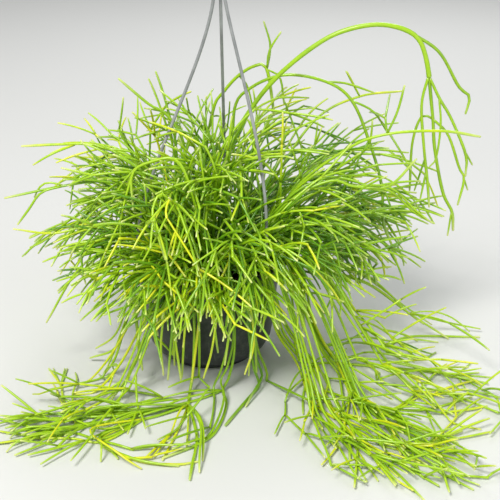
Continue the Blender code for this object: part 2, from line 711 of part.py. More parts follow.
def joined_tubes(stems):
    # A stem that carries on another one's tip shares its tube
    tubes = []
    end_of = {}
    for stem in stems:
        if stem.carries_on:
            number = end_of[stem.carries_on]
            tubes[number] = (tubes[number][0] + stem.points[1:], tubes[number][1] + stem.radii[1:])
        else:
            number = len(tubes)
            tubes.append((list(stem.points), list(stem.radii)))
        end_of[stem] = number
    return tubes


def stem_node(owner, stems, group, section, look):
    x, y, radius = CROWNS[owner]
    crown = upright(owner + "_crown", x, y, HOLE_FLOOR + GAP, CROWN_TOP, radius, group)
    rng = random.Random(len(stems))
    curves = []
    for number, (points, radii) in enumerate(joined_tubes(stems)):
        curves.append(tube(owner + "_" + str(number), points, [thick * SECTION for thick in radii], group,
                           section=section, tilt=rng.uniform(0, 2.0)))
    pieces = solid_meshes(curves, group)
    return fused(owner, crown, pieces, look, group, "MANIFOLD")


def main():
    clear_scene()
    group = collection("mistletoe_cactus")
    helpers = collection("helpers")
    looks = {name: material(name) for name in COLOURS}
    pot(group, looks["pot"])
    soil(group, looks["soil"])
    thicket = Thicket()
    for side in STRAND_ANGLES:
        strand(side, group, looks["hanger"])
        thicket.add("hanger", strand_points(side)[0], STRAND_R + 0.3)
    hook(group, looks["hanger"])
    section = triangle_section(helpers)
    stems = {}
    for owner in CROWNS:
        stems[owner] = []
        for radius, points in ROUTES.get(owner, []):
            route = bent_clear(thicket, owner, smooth_route(points, 2 if radius > 2 else 1), radius)
            thicket.add(owner, route, radius)
            stems[owner].append(Stem(radius, route))
    for owner in CLUMPS:
        clump(thicket, owner, stems[owner])
    for owner in CROWNS:
        look = looks["pale" if owner in PALE else "stem"]
        stem_node(owner, stems[owner], group, section, look)
        print(owner, len(stems[owner]), "stems")


main()
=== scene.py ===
import math
import random

import bmesh
import bpy
import numpy as np
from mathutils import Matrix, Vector


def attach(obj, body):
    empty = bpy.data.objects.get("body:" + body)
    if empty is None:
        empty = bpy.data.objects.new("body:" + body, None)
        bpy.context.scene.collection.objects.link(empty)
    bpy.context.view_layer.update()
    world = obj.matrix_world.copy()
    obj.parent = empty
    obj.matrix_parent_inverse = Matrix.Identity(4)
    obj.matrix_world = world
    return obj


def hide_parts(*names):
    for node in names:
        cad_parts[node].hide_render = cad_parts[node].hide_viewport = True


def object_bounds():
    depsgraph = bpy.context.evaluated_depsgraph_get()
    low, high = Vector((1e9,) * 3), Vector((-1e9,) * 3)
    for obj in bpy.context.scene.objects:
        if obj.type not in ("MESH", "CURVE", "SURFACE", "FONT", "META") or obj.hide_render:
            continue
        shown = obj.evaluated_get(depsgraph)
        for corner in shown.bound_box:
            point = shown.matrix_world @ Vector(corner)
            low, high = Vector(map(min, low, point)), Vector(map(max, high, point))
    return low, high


# Mistletoe cactus in its hanging pot. Sizes are in millimetres until a mesh is made.

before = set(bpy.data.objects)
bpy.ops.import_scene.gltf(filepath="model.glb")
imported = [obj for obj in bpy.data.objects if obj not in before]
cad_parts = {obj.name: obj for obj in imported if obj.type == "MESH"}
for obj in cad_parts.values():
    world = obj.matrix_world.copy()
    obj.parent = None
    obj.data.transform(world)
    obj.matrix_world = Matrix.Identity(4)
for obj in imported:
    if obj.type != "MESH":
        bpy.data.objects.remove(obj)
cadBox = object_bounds()
mm = 0.001
print("frame loaded:", len(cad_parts), "nodes")


# Meshes from arrays

def placed(name, data):
    made = bpy.data.objects.new(name, data)
    bpy.context.scene.collection.objects.link(made)
    return made


def addPiece(name, points, faces, look, nodes, crease=None):
    mesh = bpy.data.meshes.new(name)
    mesh.from_pydata((np.asarray(points) * mm).tolist(), [], faces)
    mesh.update()
    mesh.materials.append(look)
    mesh.shade_smooth()
    if crease:
        mesh.set_sharp_from_angle(angle=math.radians(crease))  # edges sharper than this many degrees
    piece = placed(name, mesh)
    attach(piece, "root")
    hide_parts(*nodes)
    return piece


def gridFaces(rows, columns):
    # Quads of a grid whose columns close on themselves, wound to face outwards
    row, column = np.meshgrid(np.arange(rows - 1), np.arange(columns), indexing="ij")
    following = (column + 1) % columns
    quads = np.stack([row * columns + column, row * columns + following,
                      (row + 1) * columns + following, (row + 1) * columns + column], axis=-1)
    return quads.reshape(-1, 4).tolist()


def poleFaces(count, columns):
    # Triangles that close a grid of count points, with point count before its first row and the next one
    # after its last row
    step = np.arange(columns)
    following, last = (step + 1) % columns, count - columns
    first = np.stack([np.full(columns, count), following, step], axis=-1)
    second = np.stack([np.full(columns, count + 1), last + step, last + following], axis=-1)
    return np.stack([first, second], axis=1).reshape(-1, 3).tolist()


def shifted(faces, start):
    return [tuple(corner + start for corner in face) for face in faces]


def turnedSurface(profile, steps):
    # A point at (r cos a, r sin a, z) for each profile point (r, z) and each turn a.
    # The profile starts and ends on the axis, where one pole closes it, and its outer side runs down.
    profile = np.asarray(profile, float)
    turns = np.linspace(0, math.tau, steps, endpoint=False)
    rings = profile[1:-1]
    points = np.stack([rings[:, :1] * np.cos(turns), rings[:, :1] * np.sin(turns),
                       np.repeat(rings[:, 1:], steps, axis=1)], axis=-1).reshape(-1, 3)
    poles = [(0, 0, profile[0, 1]), (0, 0, profile[-1, 1])]
    faces = gridFaces(len(rings), steps) + poleFaces(len(points), steps)
    return np.vstack([points, poles]), [face[::-1] for face in faces]


def rounded(profile, radius, steps=4):
    # Each inner corner becomes a short arc, a quadratic curve between its two sides
    made = [profile[0]]
    for before, corner, after in zip(profile, profile[1:], profile[2:]):
        before, corner, after = (np.array(point, float) for point in (before, corner, after))
        cut = min(radius, np.linalg.norm(before - corner) * 0.45, np.linalg.norm(after - corner) * 0.45)
        begin = corner + (before - corner) / np.linalg.norm(before - corner) * cut
        end = corner + (after - corner) / np.linalg.norm(after - corner) * cut
        for step in range(steps + 1):
            t = step / steps
            made.append(tuple(begin * (1 - t) ** 2 + corner * 2 * t * (1 - t) + end * t * t))
    made.append(profile[-1])
    return made


def tubeRings(path, radii, sides):
    # Rings of points round a path: centre + r (cos a u + sin a v), with u and v square to the path
    path = np.asarray(path, float)
    along = np.gradient(path, axis=0)
    along /= np.linalg.norm(along, axis=1)[:, None] + 1e-12
    choices = np.array([(1, 0, 0), (0, 1, 0), (0, 0, 1), (0.6, 0.8, 0), (0.6, -0.8, 0)], float)
    guide = choices[np.abs(along @ choices.T).max(0).argmin()]  # the direction that the path never follows
    u = np.cross(along, guide)
    u /= np.linalg.norm(u, axis=1)[:, None] + 1e-12
    v = np.cross(along, u)
    turns = np.linspace(0, math.tau, sides, endpoint=False)
    spokes = u[:, None, :] * np.cos(turns)[None, :, None] + v[:, None, :] * np.sin(turns)[None, :, None]
    return path[:, None, :] + spokes * np.asarray(radii)[:, None, None]


def resampled(path, spacing):
    # The same path with points at even distances along it
    path = np.asarray(path, float)
    gone = np.concatenate([[0], np.cumsum(np.linalg.norm(np.diff(path, axis=0), axis=1))])
    count = max(4, int(gone[-1] / spacing) + 1)
    wanted = np.linspace(0, gone[-1], count)
    return np.stack([np.interp(wanted, gone, path[:, axis]) for axis in range(3)], axis=1), wanted


# Materials

class Look:
    # A material, with a short way to add each kind of node
    def __init__(self, name):
        self.material = bpy.data.materials.new(name)
        self.material.use_nodes = True
        self.nodes = self.material.node_tree.nodes
        self.links = self.material.node_tree.links
        self.surface = self.nodes["Principled BSDF"]

    def feed(self, socket, value):
        # Links a node's output to a socket, or gives the socket a number or colour
        if hasattr(value, "is_output"):
            self.links.new(value, socket)
        else:
            socket.default_value = (*value, 1) if isinstance(value, tuple) else value

    def set(self, name, value):
        self.feed(self.surface.inputs[name], value)

    def place(self):
        return self.nodes.new("ShaderNodeTexCoord").outputs["Object"]

    def noise(self, place, scale, detail, rough):
        node = self.nodes.new("ShaderNodeTexNoise")
        for name, value in (("Vector", place), ("Scale", scale), ("Detail", detail), ("Roughness", rough)):
            self.feed(node.inputs[name], value)
        return node.outputs["Fac"]

    def ramp(self, value, stops):
        node = self.nodes.new("ShaderNodeValToRGB")
        band = node.color_ramp
        while len(band.elements) < len(stops):
            band.elements.new(0.5)
        for element, (position, colour) in zip(band.elements, stops):
            element.position = position
            element.color = (*colour, 1)
        self.feed(node.inputs["Fac"], value)
        return node.outputs["Color"]

    def mix(self, share, first, second):
        node = self.nodes.new("ShaderNodeMix")
        node.data_type = "RGBA"
        for number, value in ((0, share), (6, first), (7, second)):
            self.feed(node.inputs[number], value)
        return node.outputs[2]

    def worked(self, work, first, second):
        node = self.nodes.new("ShaderNodeMath")
        node.operation = work
        node.use_clamp = True
        self.feed(node.inputs[0], first)
        self.feed(node.inputs[1], second)
        return node.outputs[0]

    def spread(self, value, fromLow, fromHigh, toLow, toHigh):
        node = self.nodes.new("ShaderNodeMapRange")
        for name, given in (("Value", value), ("From Min", fromLow), ("From Max", fromHigh),
                            ("To Min", toLow), ("To Max", toHigh)):
            self.feed(node.inputs[name], given)
        return node.outputs["Result"]

    def bump(self, height, strength, distance):
        node = self.nodes.new("ShaderNodeBump")
        for name, value in (("Strength", strength), ("Distance", distance), ("Height", height)):
            self.feed(node.inputs[name], value)
        self.set("Normal", node.outputs["Normal"])


# A grain is a noise's scale, detail and roughness. A range is from and to on the noise, then the result's
# low and high. A relief is a bump's strength and height in metres.
stemFinish = {
    "tones": [(0.0, (0.042, 0.125, 0.003)), (0.34, (0.125, 0.330, 0.006)), (0.62, (0.330, 0.570, 0.010)),
              (0.84, (0.420, 0.660, 0.012)), (1.0, (0.720, 0.770, 0.012))],  # deep green to yellow
    "tip": (0.740, 0.780, 0.300), "scar": (0.240, 0.170, 0.050), "blotchGrain": (95.0, 3.0, 0.55),
    "blotches": (0.3, 0.7, -0.07, 0.07), "fineGrain": (900.0, 3.0, 0.55), "specks": (0.66, 0.74, 0.0, 0.22),
    "sheen": (0.3, 0.7, 0.24, 0.42), "glow": 0.12, "glowReach": (0.0012, 0.0016, 0.0004), "wax": 0.30,
    "waxRoughness": 0.22, "relief": (0.25, 0.0002),
}
potFinish = {
    "plastic": [(0.3, (0.012, 0.015, 0.017)), (0.7, (0.030, 0.036, 0.040))], "dust": (0.16, 0.165, 0.16),
    "scuff": (0.20, 0.21, 0.21), "cloudGrain": (22.0, 6.0, 0.65), "gritGrain": (420.0, 4.0, 0.7),
    "scuffStretch": (260, 260, 30), "scuffGrain": (1.0, 3.0, 0.6), "clouds": (0.42, 0.68, 0.0, 0.60),
    "grit": (0.35, 0.65, 0.3, 1.0), "scuffs": (0.62, 0.74, 0.0, 0.50), "sheen": (0.3, 0.75, 0.30, 0.58),
    "relief": (0.12, 0.0002),
}
hangerFinish = {
    "plastic": [(0.3, (0.17, 0.18, 0.18)), (0.7, (0.36, 0.38, 0.38))], "cloudGrain": (35.0, 5.0, 0.6),
    "gritGrain": (600.0, 3.0, 0.6), "sheen": (0.3, 0.7, 0.28, 0.5), "relief": (0.12, 0.0002),
}
soilFinish = {
    "earth": [(0.30, (0.010, 0.006, 0.003)), (0.55, (0.045, 0.026, 0.013)), (0.78, (0.130, 0.080, 0.040))],
    "clodGrain": (160.0, 8.0, 0.7), "fineGrain": (900.0, 5.0, 0.7), "roughness": 0.9, "relief": (0.7, 0.0012),
}


def stemMaterial():
    # Waxy green skin: the stem's own tone with painted shade deep in the bush, blotches, pale growing tips
    # and brown scars at joints
    look, finish = Look("waxyStem"), stemFinish
    tone = look.nodes.new("ShaderNodeAttribute")
    tone.attribute_name = "stemToneAndShade"
    parts = look.nodes.new("ShaderNodeSeparateColor")
    look.feed(parts.inputs["Color"], tone.outputs["Color"])
    place = look.place()
    blotch, fine = look.noise(place, *finish["blotchGrain"]), look.noise(place, *finish["fineGrain"])
    # The red channel is the stem's tone with painted shade deep in the bush
    shade = look.worked("ADD", parts.outputs["Red"], look.spread(blotch, *finish["blotches"]))
    tipped = look.mix(parts.outputs["Green"], look.ramp(shade, finish["tones"]), finish["tip"])
    speckled = look.mix(look.spread(fine, *finish["specks"]), tipped, finish["scar"])
    look.set("Base Color", look.mix(parts.outputs["Blue"], speckled, finish["scar"]))
    look.set("Roughness", look.spread(fine, *finish["sheen"]))
    look.set("Subsurface Weight", finish["glow"])
    look.surface.inputs["Subsurface Radius"].default_value = finish["glowReach"]
    look.set("Coat Weight", finish["wax"])
    look.set("Coat Roughness", finish["waxRoughness"])
    look.bump(fine, *finish["relief"])
    return look.material


def potMaterial():
    # Dark moulded plastic: faint mottling, patches of pale dust, fine upright scuffs
    look, finish = Look("potPlastic"), potFinish
    place = look.place()
    cloud, grit = look.noise(place, *finish["cloudGrain"]), look.noise(place, *finish["gritGrain"])
    stretch = look.nodes.new("ShaderNodeMapping")
    stretch.inputs["Scale"].default_value = finish["scuffStretch"]
    look.feed(stretch.inputs["Vector"], place)
    scuff = look.noise(stretch.outputs["Vector"], *finish["scuffGrain"])
    dust = look.worked("MULTIPLY", look.spread(cloud, *finish["clouds"]), look.spread(grit, *finish["grit"]))
    dusty = look.mix(dust, look.ramp(cloud, finish["plastic"]), finish["dust"])
    look.set("Base Color", look.mix(look.spread(scuff, *finish["scuffs"]), dusty, finish["scuff"]))
    look.set("Roughness", look.spread(cloud, *finish["sheen"]))
    look.bump(grit, *finish["relief"])
    return look.material


def hangerMaterial():
    # Grey plastic with a soft sheen and a little grime
    look, finish = Look("hangerPlastic"), hangerFinish
    place = look.place()
    cloud, grit = look.noise(place, *finish["cloudGrain"]), look.noise(place, *finish["gritGrain"])
    look.set("Base Color", look.ramp(cloud, finish["plastic"]))
    look.set("Roughness", look.spread(cloud, *finish["sheen"]))
    look.bump(grit, *finish["relief"])
    return look.material


def soilMaterial():
    # Damp fibrous soil with lighter bark
    look, finish = Look("pottingSoil"), soilFinish
    place = look.place()
    look.set("Base Color", look.ramp(look.noise(place, *finish["clodGrain"]), finish["earth"]))
    look.set("Roughness", finish["roughness"])
    look.bump(look.noise(place, *finish["fineGrain"]), *finish["relief"])
    return look.material


looks = {"stem": stemMaterial(), "pot": potMaterial(), "hanger": hangerMaterial(), "soil": soilMaterial()}
print("materials made")


# Pot: the turned shell of part.py, with its corners rounded and the same holes

potShape = {
    "rimRadius": 70.0, "top": 96.0, "wall": 1.4, "skirt": 0.9, "skirtDrop": 6.5, "flange": 1.8,
    "body": [(64.6, 90), (64.4, 70), (62, 40), (58.5, 17), (54, 9), (49, 6), (46, 5), (45, 0)],
    "corner": 0.8, "steps": 128, "crease": 40, "drainCount": 6, "drainRing": 30.0, "drainRadius": 3.5,
    "drainCut": (-2, 6), "clipRing": 66.7, "clipHole": 1.8, "clipCut": (92, 98),
}


def innerWall():
    wall = potShape["wall"]
    inside = [(radius - wall, height + (wall if height < 20 else 0))
              for radius, height in potShape["body"][:-1]]
    inside.append((potShape["body"][-1][0] - wall, wall))
    return inside


def potProfile():
    top, rim, skirt = potShape["top"], potShape["rimRadius"], potShape["skirt"]
    low, under = top - potShape["skirtDrop"], top - potShape["flange"]
    neck = potShape["body"][0][0]
    outside = [(rim, top), (rim, low), (rim - skirt, low), (rim - skirt, under), (neck, under)]
    inside = list(reversed(innerWall())) + [(neck - potShape["wall"], top)]
    sharp = [(0, potShape["wall"])] + inside + outside + potShape["body"] + [(0, 0)]
    return rounded(sharp, potShape["corner"])


def drilled(piece, spots):
    # One Boolean takes every hole, and its result is kept as the mesh
    cage = bmesh.new()
    for x, y, low, high, radius in spots:
        ring = bmesh.ops.create_cone(cage, cap_ends=True, segments=24, radius1=radius * mm,
                                     radius2=radius * mm, depth=(high - low) * mm)
        bmesh.ops.translate(cage, verts=ring["verts"], vec=(x * mm, y * mm, (low + high) / 2 * mm))
    mesh = bpy.data.meshes.new("drill")
    cage.to_mesh(mesh)
    cage.free()
    drill = placed("drill", mesh)
    cut = piece.modifiers.new("Holes", "BOOLEAN")
    cut.operation = "DIFFERENCE"
    cut.solver = "EXACT"
    cut.object = drill
    bpy.context.view_layer.update()
    made = bpy.data.meshes.new_from_object(piece.evaluated_get(bpy.context.evaluated_depsgraph_get()))
    piece.modifiers.clear()
    piece.data = made
    made.shade_smooth()
    made.set_sharp_from_angle(angle=math.radians(potShape["crease"]))
    bpy.data.objects.remove(drill, do_unlink=True)


def makePot():
    points, faces = turnedSurface(potProfile(), potShape["steps"])
    piece = addPiece("potShell", points, faces, looks["pot"], ["pot"])
    holes = [(360 * (number + 0.5) / potShape["drainCount"], "drainRing", "drainCut", "drainRadius")
             for number in range(potShape["drainCount"])]
    holes += [(angle, "clipRing", "clipCut", "clipHole") for angle in strandShape["angles"].values()]
    spots = []
    for angle, ring, cut, radius in holes:
        turn = math.radians(angle)
        spots.append((potShape[ring] * math.cos(turn), potShape[ring] * math.sin(turn), *potShape[cut],
                      potShape[radius]))
    drilled(piece, spots)


# Hanger: three bowed strands that button under the rim, a hub and its hook

strandShape = {
    "radius": 1.4, "angles": {"left": 198, "back": 78, "right": 318},
    "bow": {"left": (0.10, 75, 70), "back": (0.06, 90, 60), "right": (0.34, 90, 40)},
    "button": 1.9, "buttonTall": 1.8, "gap": 0.3, "taper": 0.4, "lead": 2.0, "socketRing": 3.6,
    "socketDeep": 5.0, "reach": 3.0, "points": 48, "sides": 16,
}
hubShape = {
    "place": (13.0, 0.0, 351.0), "radius": 6.5, "tall": 9.0, "shoulder": 2.0, "boss": 2.6, "bossRise": 1.2,
    "corner": 0.7, "steps": 48, "wire": 1.8, "hookRadius": 11.0, "hookRise": 31.0, "arc": (-75, 215),
    "arcPoints": 60,
}


def strandPoints(side, bowSteps=9):
    turn = math.radians(strandShape["angles"][side])
    out = Vector((math.cos(turn), math.sin(turn), 0))
    flange = potShape["top"] - potShape["flange"]
    low = out * potShape["clipRing"]
    gap = strandShape["gap"]
    neck = flange - gap - strandShape["taper"]
    begin = low + Vector((0, 0, potShape["top"] + strandShape["lead"]))
    foot = [low + Vector((0, 0, height)) for height in (neck - strandShape["buttonTall"], neck, flange - gap)]
    foot.append(begin)
    top = Vector(hubShape["place"]) + out * strandShape["socketRing"]
    bulge, rise, drop = strandShape["bow"][side]
    end = top - Vector((0, 0, strandShape["reach"]))
    guideLow = begin + out * (potShape["clipRing"] * bulge) + Vector((0, 0, rise))
    guideHigh = end - Vector((0, 0, drop))
    bow = []
    for step in range(1, bowSteps + 1):
        t = step / bowSteps
        bow.append(begin * (1 - t) ** 3 + guideLow * 3 * t * (1 - t) ** 2
                   + guideHigh * 3 * t * t * (1 - t) + end * t ** 3)
    return foot + bow + [top + Vector((0, 0, strandShape["socketDeep"] - gap))]


def closedTube(path, radii, sides):
    # A tube round a path, closed at both ends by the path's own end points
    rings = tubeRings(path, radii, sides).reshape(-1, 3)
    faces = gridFaces(len(path), sides) + poleFaces(len(rings), sides)
    return np.vstack([rings, [path[0]], [path[-1]]]), faces


def makeStrand(side):
    path = np.array([tuple(point) for point in strandPoints(side, strandShape["points"])])
    radii = np.full(len(path), strandShape["radius"])
    radii[:2] = strandShape["button"]
    points, faces = closedTube(path, radii, strandShape["sides"])
    addPiece("strand_" + side, points, faces, looks["hanger"], ["hanger_strand_" + side],
             potShape["crease"])


def makeHook():
    x, y, z = hubShape["place"]
    radius, tall = hubShape["radius"], hubShape["tall"]
    shoulder, boss, peak = hubShape["shoulder"], hubShape["boss"], z + tall + hubShape["bossRise"]
    hub = rounded([(0, z), (radius, z), (radius, z + tall - shoulder), (radius - shoulder, z + tall),
                   (boss, peak), (0, peak)], hubShape["corner"])
    hubPoints, hubFaces = turnedSurface(hub[::-1], hubShape["steps"])
    hubPoints = hubPoints + np.array((x, y, 0))
    turns = np.radians(np.linspace(*hubShape["arc"], hubShape["arcPoints"]))
    arc = np.stack([x + hubShape["hookRadius"] * np.cos(turns), np.full(len(turns), y),
                    z + hubShape["hookRise"] + hubShape["hookRadius"] * np.sin(turns)], axis=1)
    stalk = np.array([(x, y, z + tall + rise) for rise in (-1, 1, 3)])
    path = np.vstack([stalk, arc])
    radii = np.full(len(path), hubShape["wire"])
    radii[-1] = hubShape["wire"] * 0.7  # a rounder end
    wirePoints, wireFaces = closedTube(path, radii, strandShape["sides"])
    faces = hubFaces + shifted(wireFaces, len(hubPoints))
    addPiece("hangerHook", np.vstack([hubPoints, wirePoints]), faces, looks["hanger"],
             ["hanger_hook"], potShape["crease"])


# Stems: the routes and rules of part.py, then many more stems between them

stemShape = {
    "tip": 1.0, "leader": 1.25, "clear": 0.8, "floorClear": 0.2, "along": 2.0, "forkFree": 5.0,
    "crownFree": 11.0, "section": 1.15, "crownTop": 93.0, "crownRing": 43.0, "spread": 26.0,
    "droop": {1: 0.75, 2: 0.50, 3: 0.30, 4: 0.25}, "share": {1: 1.0, 2: 0.56, 3: 0.40},
    "forks": {1: (2, 3), 2: (1, 2)}, "tries": 8, "lowestRise": 0.45, "steps": 8, "sway": 0.10,
    "sink": 0.6, "lean": (0.28, 0.62), "wander": 0.12, "wanderMore": 0.09, "firstReach": (0.80, 1.15),
    "laterReach": (0.75, 1.15), "tone": (0.52, 0.14),
}
soilTop = [(0, 91), (25, 90), (45, 88), (58, 86)]
crowns = {
    "arching_stem": (10, 22, 3.2),
    "arching_stem_low": (-10, 24, 2.6),
    "arching_stem_right": (26, 14, 2.8),
    "trailing_left": (2, -47, 5.0),
    "trailing_right": (36, -34, 5.0),
    "stems_centre": (-2, 4, 11.0),
    "stems_front": (0, -24, 8.0),
    "stems_front_right": (20, -19, 7.0),
}
for index, side in enumerate(["right", "back_right", "back", "back_left", "left", "front_left"]):
    turn = math.radians(45 * index)
    crowns["stems_" + side] = (stemShape["crownRing"] * math.cos(turn),
                               stemShape["crownRing"] * math.sin(turn), 8.0)

